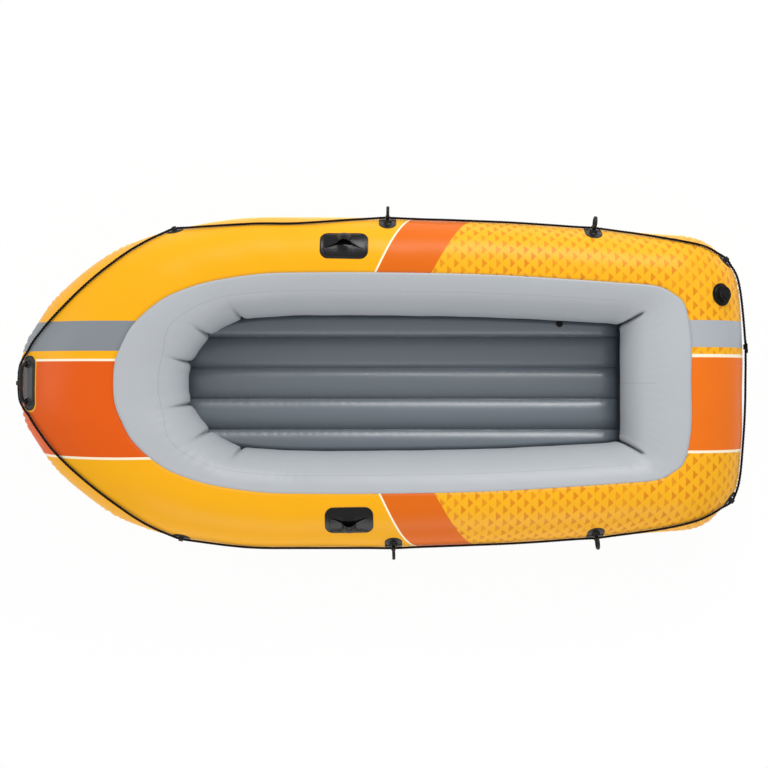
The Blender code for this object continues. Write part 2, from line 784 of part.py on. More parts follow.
def make_oar_lock(label, t, side):
    """A swivelling oar ring: its base welded to the tube, and the ring that turns in the base."""
    place = surface_frame(t, side, OAR_LOCK_ANGLE)
    name = f"oar_lock_base_{label}"
    outline = rounded_rectangle(
        OAR_LOCK_PATCH_WIDTH,
        OAR_LOCK_PATCH_HEIGHT,
        OAR_LOCK_PATCH_WIDTH / 2,
        centre=(0, -OAR_LOCK_PATCH_DROP),
    )
    patch, outer, under = conforming(name, outline, place, t, side)
    top = OAR_BOSS_HEIGHT
    bevel = OAR_BOSS_RADIUS - OAR_BUTTON_RADIUS - OAR_RUNNING_GAP
    boss = [(0, -FITTING_ROOT), (OAR_BOSS_RADIUS, -FITTING_ROOT), (OAR_BOSS_RADIUS, top - bevel / 2)]
    boss += [(OAR_BOSS_RADIUS - bevel / 2, top), (0, top)]
    combine(patch, turned(name + "_boss", boss, place), "UNION")
    rope_place = surface_frame(t, side, rope_angle(t))
    combine(patch, lug_shape(name + "_lug", rope_place), "UNION")
    combine(patch, under, "DIFFERENCE")
    combine(patch, rope_bore(name + "_bore", rope_place), "DIFFERENCE")
    floor = OAR_SOCKET_FLOOR
    wide = OAR_BUTTON_RADIUS + OAR_RUNNING_GAP
    neck = OAR_NECK_RADIUS + OAR_RUNNING_GAP
    ledge = floor + OAR_BUTTON_THICKNESS + 2 * OAR_RUNNING_GAP
    socket = [(0, floor), (wide, floor), (wide, ledge), (neck, ledge)]
    socket += [(neck, top + CUT_OVERRUN), (0, top + CUT_OVERRUN)]
    combine(patch, turned(name + "_socket", socket, place), "DIFFERENCE")
    ROPE_STOPS.append((t, side, rope_place))

    ring_centre = top + OAR_RING_LIFT + OAR_RING_RADIUS + OAR_RING_HALF_WALL
    points = []
    for i in range(FINE_STEPS):
        a = 2 * math.pi * i / FINE_STEPS
        for j in range(8):
            b = 2 * math.pi * j / 8
            r = OAR_RING_RADIUS + OAR_RING_HALF_WALL * math.cos(b)
            x = OAR_RING_HALF_WIDTH * math.sin(b)
            points.append((x, r * math.sin(a), ring_centre - r * math.cos(a)))
    faces = facing_out(points, ring_faces(FINE_STEPS, 8, True))
    ring = new_object(f"oar_lock_ring_{label}", points, faces, "black_moulding", place)
    low = floor + OAR_RUNNING_GAP
    shoulder = low + OAR_BUTTON_THICKNESS
    stem_end = top + OAR_RING_LIFT + OAR_RING_HALF_WALL
    stem = [(0, low), (OAR_BUTTON_RADIUS, low), (OAR_BUTTON_RADIUS, shoulder), (OAR_NECK_RADIUS, shoulder)]
    stem += [(OAR_NECK_RADIUS, stem_end), (0, stem_end)]
    combine(ring, turned(ring.name + "_stem", stem, place, steps=16), "UNION")


def hood_height(x):
    """The hood's height over the patch along its mouth: an arch between two sloping flanks."""
    away = abs(x)
    arch = 0.0
    if away < HOOD_ARCH_HALF_WIDTH:
        arch = HOOD_ARCH_HEIGHT * math.sqrt(1 - (away / HOOD_ARCH_HALF_WIDTH) ** 2)
    return max(arch, HOOD_FLANK_HEIGHT * max(0.0, 1 - away / HOOD_HALF_LENGTH))


def hood_mouth(x):
    """The place of the hood's front edge, which draws back where the arch stands."""
    away = smooth(abs(x) / HOOD_HALF_LENGTH)
    return HOOD_ARCH_MOUTH_Y + (HOOD_FLANK_MOUTH_Y - HOOD_ARCH_MOUTH_Y) * away


def hood_shape(name, place, bend, wall):
    """The hood as a field of heights, or the room in it where a wall is left round that."""
    half = HOOD_HALF_LENGTH - wall
    back = HOOD_BACK_Y + wall
    overrun, root, least = 0.0, FITTING_ROOT, PATCH_THICKNESS / 2
    if wall:
        overrun, root, least = CUT_OVERRUN, root + CUT_OVERRUN, -least
    xs = np.linspace(-half, half, 25)
    steps = np.linspace(0.0, 1.0, 7)
    top, low = [], []
    for step in steps:
        for x in xs:
            mouth = hood_mouth(x)
            y = back + step * (mouth + overrun - back)
            share = min(max((mouth - y) / (mouth - back), 0.0), 1.0)
            fall = math.sqrt(max(0.0, 1 - (share * HOOD_ROUND_SHARE) ** 2))
            surface = bend(y)
            height = max(hood_height(x) * fall - wall, least)
            top.append((x, y, surface + JOINT_GAP + PATCH_THICKNESS + height))
            low.append((x, y, surface - root))
    wide = len(xs)
    faces = []
    for i in range(len(steps) - 1):
        for j in range(wide - 1):
            a, b = i * wide + j, (i + 1) * wide + j
            faces += [(a, b, b + 1), (a, b + 1, a + 1)]
    under = [tuple(k + len(top) for k in reversed(face)) for face in faces]
    rim = list(range(wide)) + [i * wide + wide - 1 for i in range(1, len(steps))]
    rim += [(len(steps) - 1) * wide + j for j in range(wide - 2, -1, -1)]
    rim += [i * wide for i in range(len(steps) - 2, 0, -1)]
    walls = [(a, b, b + len(top), a + len(top)) for a, b in zip(rim, rim[1:] + rim[:1])]
    every = consistent(faces + under + walls)
    return new_object(name, top + low, facing_out(top + low, every), None, place)


def make_oar_holder(label, t, side):
    """A moulded hood that an oar's shaft is pushed under; its mouth faces the cockpit."""
    place = surface_frame(t, side, OAR_HOLDER_ANGLE)
    name = f"oar_holder_{label}"
    outline = rounded_rectangle(OAR_HOLDER_LENGTH, OAR_HOLDER_WIDTH, OAR_HOLDER_CORNER)
    patch, outer, under = conforming(name, outline, place, t, side)
    radius = Station(t, side).half_height

    def bend(y):
        return -y * y / (2 * radius)

    hood = hood_shape(name + "_hood", place, bend, 0)
    combine(hood, hood_shape(name + "_room", place, bend, HOOD_WALL), "DIFFERENCE")
    combine(patch, hood, "UNION")
    combine(patch, under, "DIFFERENCE")


def make_bow_handle():
    place = surface_frame(0.0, 1, HANDLE_ANGLE)
    outline = rounded_rectangle(HANDLE_PATCH_LENGTH, HANDLE_PATCH_WIDTH, HANDLE_PATCH_CORNER)
    patch, outer, under = conforming("bow_handle_patch", outline, place, 0.0, 1)
    for sign in (-1, 1):
        post = prism(
            f"bow_handle_post_{sign}",
            circle(POST_RADIUS, FINE_STEPS, centre=(sign * HANDLE_POST_SPACING / 2, 0)),
            -HANDLE_STANDOFF,
            POST_HEIGHT,
            place,
        )
        combine(patch, post, "UNION")
    combine(patch, under, "DIFFERENCE")

    curve = bpy.data.curves.new("bow_handle_grip", "CURVE")
    curve.dimensions = "3D"
    curve.bevel_depth = GRIP_RADIUS
    curve.bevel_resolution = 2
    curve.use_fill_caps = True
    foot = POST_HEIGHT + JOINT_GAP
    half = HANDLE_POST_SPACING / 2
    steps = 28
    line = curve.splines.new("POLY")
    line.points.add(steps + 2)
    rise = HANDLE_STANDOFF - foot
    arch = []
    for i in range(steps + 1):
        a = math.pi * i / steps
        x = -half * math.copysign(abs(math.cos(a)) ** 0.5, math.cos(a))
        arch.append((x, foot + GRIP_RADIUS / 2 + (rise - GRIP_RADIUS / 2) * abs(math.sin(a)) ** 0.5))
    arch = [(-half, foot)] + arch + [(half, foot)]
    for point, (x, z) in zip(line.points, arch):
        point.co = (x, 0, z, 1)
    grip = bpy.data.objects.new("bow_handle_grip", curve)
    bpy.context.scene.collection.objects.link(grip)
    grip.matrix_world = place
    curve.materials.append(make_material("bow_handle_grip", *COLOURS["black_moulding"]))


# Valves

def make_main_valve(main):
    """The screwed valve: base, sealing ring, insert with its flap, and the cap on its arm."""
    t = row_where(1, MAIN_VALVE_ANGLE, 1, MAIN_VALVE_Y, low=13.0)
    place = surface_frame(t, 1, MAIN_VALVE_ANGLE)
    base, outer, under = conforming("main_valve_base", circle(VALVE_FLANGE_RADIUS), place, t, 1)
    around = circle(VALVE_COLLAR_RADIUS)
    collar = prism("main_valve_collar", around, -FITTING_ROOT, VALVE_COLLAR_HEIGHT, place)
    combine(base, collar, "UNION")
    combine(base, under, "DIFFERENCE")
    boot_radius = VALVE_BORE_RADIUS + VALVE_BOOT_WALL
    boot = prism("main_valve_boot", circle(boot_radius), -VALVE_BOOT_DEPTH, VALVE_COLLAR_HEIGHT / 2, place)
    combine(base, boot, "UNION")
    bore = prism(
        "main_valve_bore",
        circle(VALVE_BORE_RADIUS),
        -VALVE_BOOT_DEPTH - CUT_OVERRUN,
        VALVE_COLLAR_HEIGHT + CUT_OVERRUN,
        place,
    )
    combine(base, bore, "DIFFERENCE")
    hole = prism(
        "main_chamber_valve_hole",
        circle(boot_radius + VALVE_HOLE_CLEARANCE),
        -VALVE_BOOT_DEPTH - CUT_OVERRUN,
        CUT_OVERRUN,
        place,
    )
    combine(main, hole, "DIFFERENCE")

    seat = VALVE_COLLAR_HEIGHT + JOINT_GAP
    gasket_outer = VALVE_BORE_RADIUS + GASKET_WIDTH
    gasket = [(VALVE_BORE_RADIUS, seat), (gasket_outer, seat)]
    gasket += [(gasket_outer, seat + GASKET_THICKNESS), (VALVE_BORE_RADIUS, seat + GASKET_THICKNESS)]
    turned("main_valve_gasket", gasket, place, "black_moulding")

    low = seat + GASKET_THICKNESS + JOINT_GAP
    top = low + INSERT_FLANGE_THICKNESS
    neck = VALVE_BORE_RADIUS - VALVE_RUNNING_GAP
    end = -INSERT_DEPTH
    insert = [
        (AIRWAY_RADIUS, end),
        (neck, end),
        (neck, low),
        (INSERT_FLANGE_RADIUS, low),
        (INSERT_FLANGE_RADIUS, top - GASKET_THICKNESS),
        (INSERT_FLANGE_RADIUS - GASKET_THICKNESS, top),
        (INLET_RADIUS, top),
        (INLET_RADIUS, top - INLET_DEPTH),
        (AIRWAY_RADIUS, top - INLET_DEPTH),
    ]
    turned("main_valve_insert", insert, place, "black_moulding", ROUND_STEPS)

    under_cap = top + JOINT_GAP
    over_cap = under_cap + CAP_THICKNESS
    plug_end = top - CAP_PLUG_DEPTH
    cap = [(0, plug_end), (CAP_PLUG_RADIUS, plug_end), (CAP_PLUG_RADIUS, under_cap)]
    cap += [(CAP_RADIUS, under_cap), (CAP_RADIUS, over_cap - GASKET_THICKNESS)]
    cap += [(CAP_RADIUS - GASKET_THICKNESS, over_cap), (0, over_cap)]
    cap_object = turned("main_valve_cap", cap, place, "black_moulding")
    arm_half = CAP_ARM_WIDTH / 2
    arm = [(-arm_half, 0), (arm_half, 0), (arm_half, CAP_HINGE_Y), (-arm_half, CAP_HINGE_Y)]
    over_arm = under_cap + CAP_ARM_THICKNESS
    combine(cap_object, prism("main_valve_arm", arm, under_cap, over_arm, place), "UNION")

    ear_inner = arm_half + VALVE_RUNNING_GAP
    ear_outer = ear_inner + CAP_EAR_WIDTH
    back = CAP_HINGE_Y - CAP_ARM_THICKNESS
    bridge = CAP_HINGE_Y + CAP_SWING_ROOM
    front = bridge + CAP_ARM_THICKNESS
    ears = [
        (-ear_outer, back),
        (-ear_inner, back),
        (-ear_inner, bridge),
        (ear_inner, bridge),
        (ear_inner, back),
        (ear_outer, back),
        (ear_outer, front),
        (-ear_outer, front),
    ]
    prism("main_valve_hinge_ears", ears, under_cap, over_arm, place, "black_moulding")

    flap_top = end - JOINT_GAP
    first = math.asin(FLAP_HINGE_Y / FLAP_RADIUS)
    turns = np.linspace(first, math.pi - first, ROUND_STEPS - 5)
    flap = [(FLAP_RADIUS * math.cos(a), FLAP_RADIUS * math.sin(a)) for a in turns]
    prism("main_valve_flap", flap, flap_top - FLAP_THICKNESS, flap_top, place, "clear_flap")


def plug_and_stem(name, place, flange_low):
    """A short stem with a push-in plug; flange_low is the height of the flange's under side."""
    top = flange_low + STEM_FLANGE_THICKNESS
    stem = [
        (STEM_BORE_RADIUS, -STEM_DEPTH),
        (STEM_RADIUS, -STEM_DEPTH),
        (STEM_RADIUS, flange_low),
        (STEM_FLANGE_RADIUS, flange_low),
        (STEM_FLANGE_RADIUS, top),
        (STEM_BORE_RADIUS, top),
    ]
    turned(f"{name}_stem", stem, place, "black_moulding")
    under = top + JOINT_GAP
    pin = STEM_BORE_RADIUS - PLUG_PIN_CLEARANCE
    over = under + PLUG_THICKNESS
    bevel = PLUG_THICKNESS / 3
    plug = [(0, under - PLUG_PIN_DEPTH), (pin, under - PLUG_PIN_DEPTH), (pin, under), (PLUG_RADIUS, under)]
    plug += [(PLUG_RADIUS, over - bevel), (PLUG_RADIUS - bevel, over), (0, over)]
    turned(f"{name}_plug", plug, place, "black_moulding")
    around = circle(STEM_RADIUS + JOINT_GAP, FINE_STEPS)
    return prism(f"{name}_hole", around, -STEM_DEPTH - CUT_OVERRUN, flange_low + CUT_OVERRUN, place)


def make_small_valves(inner, floor, plan):
    t = row_where(-1, INNER_VALVE_ANGLE, 0, INNER_VALVE_X, low=6.5, high=12.0)
    place = surface_frame(t, -1, INNER_VALVE_ANGLE)
    combine(inner, plug_and_stem("inner_valve", place, JOINT_GAP), "DIFFERENCE")
    around = circle(STEM_FLANGE_RADIUS, FINE_STEPS, centre=(FLOOR_VALVE_X, FLOOR_VALVE_Y))
    seat = max(plan.top(x, y) for x, y in around)
    place = Matrix.Translation((FLOOR_VALVE_X, FLOOR_VALVE_Y, seat))
    combine(floor, plug_and_stem("floor_valve", place, JOINT_GAP), "DIFFERENCE")


# Grab line

ROPE_STOPS = []


def rope_route():
    """The line's points once round the hull, straight through each lug, starting at the knot."""
    stops = {}
    for t, side, place in ROPE_STOPS:
        stops[(round(t, 6), side)] = place
    points = []
    rows = half_rows()
    loop = [(t, 1) for t in rows] + [(t, -1) for t in reversed(rows[1:-1])]
    marks = [(t if side > 0 else 2 * LAST_ROW - t, None, t, side) for t, side in loop]
    marks += [(t if side > 0 else 2 * LAST_ROW - t, place, t, side) for (t, side), place in stops.items()]
    marks.sort(key=lambda mark: mark[0])
    free = [mark for mark in marks if mark[1] is None]
    lugs = [mark for mark in marks if mark[1] is not None]
    for mark in free:
        gaps = [abs(lug[0] - mark[0]) for lug in lugs]
        away = min(min(gap, 2 * LAST_ROW - gap) for gap in gaps)
        rise = ROPE_RISE_ANGLE
        rise += (ROPE_BOW_RISE_ANGLE - ROPE_RISE_ANGLE) * smooth(ROPE_BOW_ROW_SHARE - mark[2])
        rise *= smooth(away / ROPE_RISE_ROWS_SHARE)
        rise *= smooth(ROPE_LEVEL_ROW_SHARE - mark[2])
        frame = surface_frame(mark[2], mark[3], rope_angle(mark[2]) + rise)
        here = frame.translation + frame.col[2].to_3d() * (ROPE_HEIGHT + ROPE_SLACK)
        nearest = min((lug[1].translation - here).length for lug in lugs)
        if nearest > ROPE_STRAIGHT * 2.6:
            points.append((mark[0], here))
    for mark in lugs:
        frame = mark[1]
        centre = frame.translation + frame.col[2].to_3d() * ROPE_HEIGHT
        along = frame.col[0].to_3d() * ROPE_STRAIGHT
        ends = [centre - along, centre + along]
        ahead = Station(min(mark[2] + 0.05, LAST_ROW), mark[3])
        behind = Station(max(mark[2] - 0.05, 0), mark[3])
        course = Vector((*(ahead.world(ahead.half_width, 0) - behind.world(behind.half_width, 0))[:2], 0))
        course *= mark[3]
        if mark[2] < 0.05:
            course = Vector((0, 1, 0))
        if (ends[1] - ends[0]).dot(course) < 0:
            ends.reverse()
        for offset, point in zip((-1e-4, 1e-4), ends):
            points.append((mark[0] + offset, point))
    points.sort(key=lambda item: item[0])
    return [point for _, point in points]


def thinned(points):
    """The same line without points that lie almost straight between their neighbours."""
    kept = [points[0]]
    for here, ahead in zip(points[1:], points[2:] + points[:1]):
        bend = (here - kept[-1]).angle(ahead - here)
        if bend > math.radians(2.0) or (ahead - kept[-1]).length > ROPE_MOST_SPACING:
            kept.append(here)
    return kept


def make_grab_line():
    """The line round the boat and the knot at the stern that closes it."""
    route = rope_route()
    stern_x = max(p.x for p in route)
    moved = []
    for p in route:
        fore = smooth((p.x - stern_x + 0.03) / 0.03)
        bump = smooth(1 - abs(p.y - KNOT_Y / 2) / 0.30)
        moved.append(Vector((p.x + ROPE_STERN_SLACK * fore * bump, p.y, p.z)))
    at_stern = [i for i, p in enumerate(moved) if p.x > 0.8 * stern_x]
    start = min(at_stern, key=lambda i: abs(moved[i].y - KNOT_Y))
    moved = moved[start:] + moved[:start]
    knot = moved[0].copy()
    knot.y = KNOT_Y
    others = moved[1:]
    order = others if others[0].y < knot.y else others[::-1]
    leave = (order[0] - knot).normalized()
    arrive = (order[-1] - knot).normalized()
    half = KNOT_LENGTH / 2
    path = [knot + leave * (half + JOINT_GAP), knot + leave * (half + ROPE_DIAMETER)]
    path += [p for p in order if (p - knot).length > half + 2 * ROPE_DIAMETER]
    path += [knot + arrive * (half + ROPE_DIAMETER), knot + arrive * (half + JOINT_GAP)]
    path = thinned(path)
    curve = bpy.data.curves.new("grab_line", "CURVE")
    curve.dimensions = "3D"
    curve.bevel_depth = ROPE_DIAMETER / 2
    curve.bevel_resolution = 2
    curve.use_fill_caps = True
    line = curve.splines.new("POLY")
    line.points.add(len(path) - 1)
    for point, place in zip(line.points, path):
        point.co = (*place, 1)
    item = bpy.data.objects.new("grab_line", curve)
    bpy.context.scene.collection.objects.link(item)
    curve.materials.append(make_material("grab_line", *COLOURS["black_rope"]))

    axis = (leave - arrive).normalized()
    across = axis.cross(Vector((0, 0, 1))).normalized()
    up = axis.cross(across)
    place = Matrix((across, up, axis)).transposed().to_4x4()
    place.translation = knot
    profile = [(0, -half), (ROPE_DIAMETER / 2, -half)]
    swell = KNOT_RADIUS - ROPE_DIAMETER / 2
    for i in range(1, 6):
        a = math.pi * i / 6
        profile.append((ROPE_DIAMETER / 2 + swell * math.sin(a), -half * math.cos(a)))
    profile += [(ROPE_DIAMETER / 2, half), (0, half)]
    turned("grab_line_knot", profile, place, "black_rope", 12)


def build():
    for item in list(bpy.data.objects):
        bpy.data.objects.remove(item, do_unlink=True)
    main, inner = make_hull()
    make_bottom_sheet()
    plan = FloorPlan()
    floor = make_floor(plan)
    make_webs(plan)
    make_bow_handle()
    make_rope_holder("rope_holder_bow_centre", 0.0, 1, BOW_HOLDER_RADIUS)
    for label, side in SIDES.items():
        t = row_where(side, ROPE_ANGLE, 0, along_hull(BOW_HOLDER_SHARES[label]))
        make_rope_holder(f"rope_holder_bow_{label}", t, side, HOLDER_RADIUS)
        t = row_where(side, ROPE_ANGLE, 0, along_hull(STERN_HOLDER_SHARES[label]))
        make_rope_holder(f"rope_holder_stern_{label}", t, side, HOLDER_RADIUS)
        t = row_where(side, OAR_HOLDER_ANGLE, 0, along_hull(OAR_HOLDER_SHARES[label]))
        make_oar_holder(label, t, side)
    for label, share in OAR_LOCK_SHARES.items():
        side = SIDES[label.split("_")[1]]
        make_oar_lock(label, row_where(side, OAR_LOCK_ANGLE, 0, along_hull(share)), side)
    make_main_valve(main)
    make_small_valves(inner, floor, plan)
    make_grab_line()


build()
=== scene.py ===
# %% [markdown]
# # An inflatable rowing boat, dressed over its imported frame
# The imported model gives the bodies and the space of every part. This notebook keeps that frame and
# puts the finished surfaces on it: smooth film tubes with their printed bands, a ribbed air floor,
# moulded fittings, a laid rope and a screwed valve. Metres throughout, bow towards -X, starboard +Y.

# %% Load the frame
import math

import bmesh
import bpy
import numpy as np
from mathutils import Matrix, Vector
from mathutils.bvhtree import BVHTree


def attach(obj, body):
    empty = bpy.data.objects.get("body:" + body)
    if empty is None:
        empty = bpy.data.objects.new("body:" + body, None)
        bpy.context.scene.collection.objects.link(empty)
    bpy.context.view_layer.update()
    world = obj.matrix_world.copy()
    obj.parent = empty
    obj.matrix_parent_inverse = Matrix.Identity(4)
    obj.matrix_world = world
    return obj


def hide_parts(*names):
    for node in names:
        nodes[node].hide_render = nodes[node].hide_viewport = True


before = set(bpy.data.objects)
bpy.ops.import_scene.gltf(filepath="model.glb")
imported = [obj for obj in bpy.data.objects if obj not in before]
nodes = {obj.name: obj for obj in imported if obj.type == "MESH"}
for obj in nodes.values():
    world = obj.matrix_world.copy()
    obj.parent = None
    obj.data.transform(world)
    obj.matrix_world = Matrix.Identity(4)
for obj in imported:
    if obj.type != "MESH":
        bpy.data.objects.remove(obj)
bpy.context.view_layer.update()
print("nodes in the frame:", len(nodes))

# %% [markdown]
# ## Camera, floor and light
# The boat is seen from straight above, as if from a gantry about four metres up, so the camera looks
# down its own -Z with no turn at all. The floor is a plain pale sheet. A large soft lamp stands on
# the starboard side, because in the real light the port wall of the cockpit is the bright one.

# %% Camera
CAMERA_PLACE = (0.0007, -0.003, 4.042)
CAMERA_LENS, SENSOR_WIDTH = 55.6, 36

camera_data = bpy.data.cameras.new("overhead_camera")
camera_data.lens = CAMERA_LENS
camera_data.sensor_width = SENSOR_WIDTH
camera = bpy.data.objects.new("overhead_camera", camera_data)
camera.location = CAMERA_PLACE
bpy.context.scene.collection.objects.link(camera)
bpy.context.scene.camera = camera
bpy.context.scene.view_settings.view_transform = "Standard"
print("camera at", CAMERA_PLACE, "with a lens of", CAMERA_LENS, "mm")


# %% Stage and lamps
STAGE_HALF, STAGE_GREY, STAGE_ROUGHNESS = 14.0, 0.86, 0.9
STAGE_GLOW_SHARE = 0.96
ROOM_LIGHT = 0.59
SOFTBOXES = (  # name, place, aimed at, size, watts
    ("starboard_softbox", (1.0, 3.0, 2.7), (0.2, 0, 0.1), (2.8, 1.3), 106),
    ("port_fill", (0.2, -3.4, 1.8), (0, 0, 0.2), (4.0, 1.6), 52),
    ("bow_fill", (-3.3, 0.5, 1.8), (-0.6, 0, 0.2), (2.0, 1.6), 22),
)


def plain_material(name, colour, roughness):
    """A material with a Principled shader; returns it, its tree and its shader."""
    material = bpy.data.materials.new(name)
    material.use_nodes = True
    shader = material.node_tree.nodes["Principled BSDF"]
    shader.inputs["Base Color"].default_value = (*colour, 1)
    shader.inputs["Roughness"].default_value = roughness
    material.diffuse_color = (*colour, 1)
    return material, material.node_tree, shader


def step(tree, operation, *values, clamp=False):
    """One Math node; a value is a number or another node's output."""
    node = tree.nodes.new("ShaderNodeMath")
    node.operation = operation
    node.use_clamp = clamp
    for socket, value in zip(node.inputs, values):
        if isinstance(value, (int, float)):
            socket.default_value = value
        else:
            tree.links.new(value, socket)
    return node.outputs[0]


def seen_directly(tree):
    """1 where a ray comes from the camera or through glass, 0 for light on the object."""
    path = tree.nodes.new("ShaderNodeLightPath")
    return step(tree, "MAXIMUM", path.outputs["Is Camera Ray"], path.outputs["Is Transmission Ray"])


def make_stage():
    """A wide pale floor that looks nearly white to the camera and keeps the boat's shadow."""
    mesh = bpy.data.meshes.new("studio_floor")
    corners = [(STAGE_HALF * x, STAGE_HALF * y, 0) for x, y in ((-1, -1), (1, -1), (1, 1), (-1, 1))]
    mesh.from_pydata(corners, [], [(0, 1, 2, 3)])
    floor = bpy.data.objects.new("studio_floor", mesh)
    bpy.context.scene.collection.objects.link(floor)
    material, tree, shader = plain_material("pale_floor", (STAGE_GREY,) * 3, STAGE_ROUGHNESS)
    glow = tree.nodes.new("ShaderNodeEmission")
    glow.inputs["Color"].default_value = (1, 1, 1, 1)
    glow.inputs["Strength"].default_value = 1.0
    mix = tree.nodes.new("ShaderNodeMixShader")
    tree.links.new(step(tree, "MULTIPLY", seen_directly(tree), STAGE_GLOW_SHARE), mix.inputs[0])
    tree.links.new(shader.outputs[0], mix.inputs[1])
    tree.links.new(glow.outputs[0], mix.inputs[2])
    tree.links.new(mix.outputs[0], tree.nodes["Material Output"].inputs["Surface"])
    mesh.materials.append(material)


def make_room(strength):
    """Even white light from all sides; the camera sees it as plain white."""
    world = bpy.data.worlds.new("white_room")
    world.use_nodes = True
    tree = world.node_tree
    back = tree.nodes["Background"]
    back.inputs["Color"].default_value = (1, 1, 1, 1)
    share = step(tree, "MULTIPLY_ADD", seen_directly(tree), 1.0 - strength, strength)
    tree.links.new(share, back.inputs["Strength"])
    bpy.context.scene.world = world


def add_softbox(name, place, target, size, watts):
    lamp = bpy.data.lights.new(name, "AREA")
    lamp.shape = "RECTANGLE"
    lamp.size, lamp.size_y = size
    lamp.energy = watts
    item = bpy.data.objects.new(name, lamp)
    item.location = place
    aim = Vector(target) - Vector(place)
    item.rotation_euler = aim.to_track_quat("-Z", "Y").to_euler()
    bpy.context.scene.collection.objects.link(item)


make_stage()
make_room(ROOM_LIGHT)
for softbox in SOFTBOXES:
    add_softbox(*softbox)
print("floor, room light and", len(SOFTBOXES), "lamps are in place")

# %% [markdown]
# ## The hull's shape, as a rule
# The hull is one tube bent round the cockpit. A short table says where the tube's outer and inner
# edges are at seventeen places along each half, and where the wall between the chambers stands. A
# smooth curve runs through them, and an upright ellipse stands on the line between the two edges.
# Everything welded to the hull asks this rule where the surface is, so it comes before any piece.

# %% The tube's sizes and its table
HULL_LENGTH = 2.3305
HULL_BEAM = 1.076
BOW_TIP_X = -1.16415
COCKPIT_FRONT_X = -0.63015
COCKPIT_LENGTH = 1.405
COCKPIT_HALF_WIDTH = 0.222
SIDE_TUBE_HEIGHT, BOW_TUBE_HEIGHT = 0.330, 0.380
BOW_RISE, BASE_FLAT_DEPTH = 0.030, 0.003
BOW_SWEEP_SHARE = 0.36

# Outer edge: share of the length and of the half beam. Inner edge: share of the cockpit's length and
# half width. Last: where the wall between the chambers stands, as a share of the tube's width.
HULL_ROW_SHARES = np.array((
    (0.0000, 0.000, 0.0000, 0.000, 0.375),
    (0.0045, 0.200, 0.0010, 0.150, 0.375),
    (0.0215, 0.344, 0.0075, 0.300, 0.380),
    (0.0540, 0.535, 0.0260, 0.500, 0.395),
    (0.1150, 0.755, 0.0500, 0.680, 0.395),
    (0.1670, 0.865, 0.0800, 0.820, 0.385),
    (0.2280, 0.940, 0.1220, 0.925, 0.380),
    (0.3045, 0.994, 0.2100, 0.985, 0.390),
    (0.3890, 1.000, 0.2950, 1.000, 0.395),
    (0.5120, 0.993, 0.4700, 0.995, 0.400),
    (0.6680, 0.972, 0.7000, 0.967, 0.400),
    (0.8590, 0.907, 0.9300, 0.895, 0.400),
    (0.9350, 0.873, 0.9800, 0.872, 0.400),
    (0.9705, 0.764, 0.9965, 0.845, 0.415),
    (0.9910, 0.632, 1.0000, 0.720, 0.455),
    (0.9985, 0.350, 1.0000, 0.380, 0.485),
    (1.0000, 0.000, 1.0000, 0.000, 0.480),
))
LAST_ROW = len(HULL_ROW_SHARES) - 1
print("rows in each half of the hull:", len(HULL_ROW_SHARES))


# %% The tube's rule
def smooth(share):
    """An S-shaped rise from 0 to 1."""
    share = np.clip(share, 0.0, 1.0)
    return share * share * (3 - 2 * share)


def row_values(index):
    """Rows of the table, mirrored past the bow and the stern."""
    index = np.asarray(index)
    mirror = np.ones(len(index))
    mirror[index < 0] = -1
    index = np.abs(index)
    mirror[index > LAST_ROW] = -1
    index = np.where(index > LAST_ROW, 2 * LAST_ROW - index, index)
    values = HULL_ROW_SHARES[index].copy()
    values[:, 1] *= mirror
    values[:, 3] *= mirror
    return values


class Tube:
    """The tube at many rows at once; side is +1 to starboard and -1 to port."""

    def __init__(self, rows, side):
        rows = np.atleast_1d(np.asarray(rows, float))
        side = np.broadcast_to(np.asarray(side, float), rows.shape)
        i = np.clip(np.floor(rows).astype(int), 0, LAST_ROW - 1)
        f = (rows - i)[:, None]
        before, here, after, beyond = (row_values(i + k) for k in (-1, 0, 1, 2))
        shares = (
            here
            + (after - before) * f / 2
            + (2 * before - 5 * here + 4 * after - beyond) * f**2 / 2
            + (3 * here - before - 3 * after + beyond) * f**3 / 2
        )
        outer_x = BOW_TIP_X + shares[:, 0] * HULL_LENGTH
        outer_y = side * shares[:, 1] * HULL_BEAM / 2
        inner_x = COCKPIT_FRONT_X + shares[:, 2] * COCKPIT_LENGTH
        inner_y = side * shares[:, 3] * COCKPIT_HALF_WIDTH
        self.outer = np.column_stack((outer_x, outer_y))
        self.inner = np.column_stack((inner_x, inner_y))
        span = np.linalg.norm(self.outer - self.inner, axis=1)
        self.half_width = span / 2
        self.outward = (self.outer - self.inner) / span[:, None]
        self.middle = (self.outer + self.inner) / 2
        bow = smooth(1 - shares[:, 0] / BOW_SWEEP_SHARE)
        height = SIDE_TUBE_HEIGHT + bow * (BOW_TUBE_HEIGHT - SIDE_TUBE_HEIGHT)
        self.base = BOW_RISE * bow
        self.half_height = (height + BASE_FLAT_DEPTH) / 2
        self.centre_z = self.base + self.half_height - BASE_FLAT_DEPTH
        self.wall_offset = self.half_width * (1 - 2 * shares[:, 4])
        self.low_angle = np.arcsin(1 - BASE_FLAT_DEPTH / self.half_height)
        self.top_angle = np.arccos(-self.wall_offset / self.half_width)

    def points(self, angle, push=0.0):
        """Points on the section at these angles, moved out from the skin by push."""
        u = self.half_width * np.cos(angle)
        z = self.half_height * np.sin(angle)
        nu, nz = np.cos(angle) / self.half_width, np.sin(angle) / self.half_height
        size = np.hypot(nu, nz)
        u, z = u + push * nu / size, z + push * nz / size
        plan = self.middle + self.outward * u[:, None]
        return np.column_stack((plan, self.centre_z + z))


beam_check = Tube(np.linspace(0, LAST_ROW, 200), 1).outer[:, 1].max() * 2
print("beam of the hull by the rule:", round(float(beam_check), 4))


# %% Places on the hull
SLOPE_STEP, HALVINGS = 1 / 64, 40


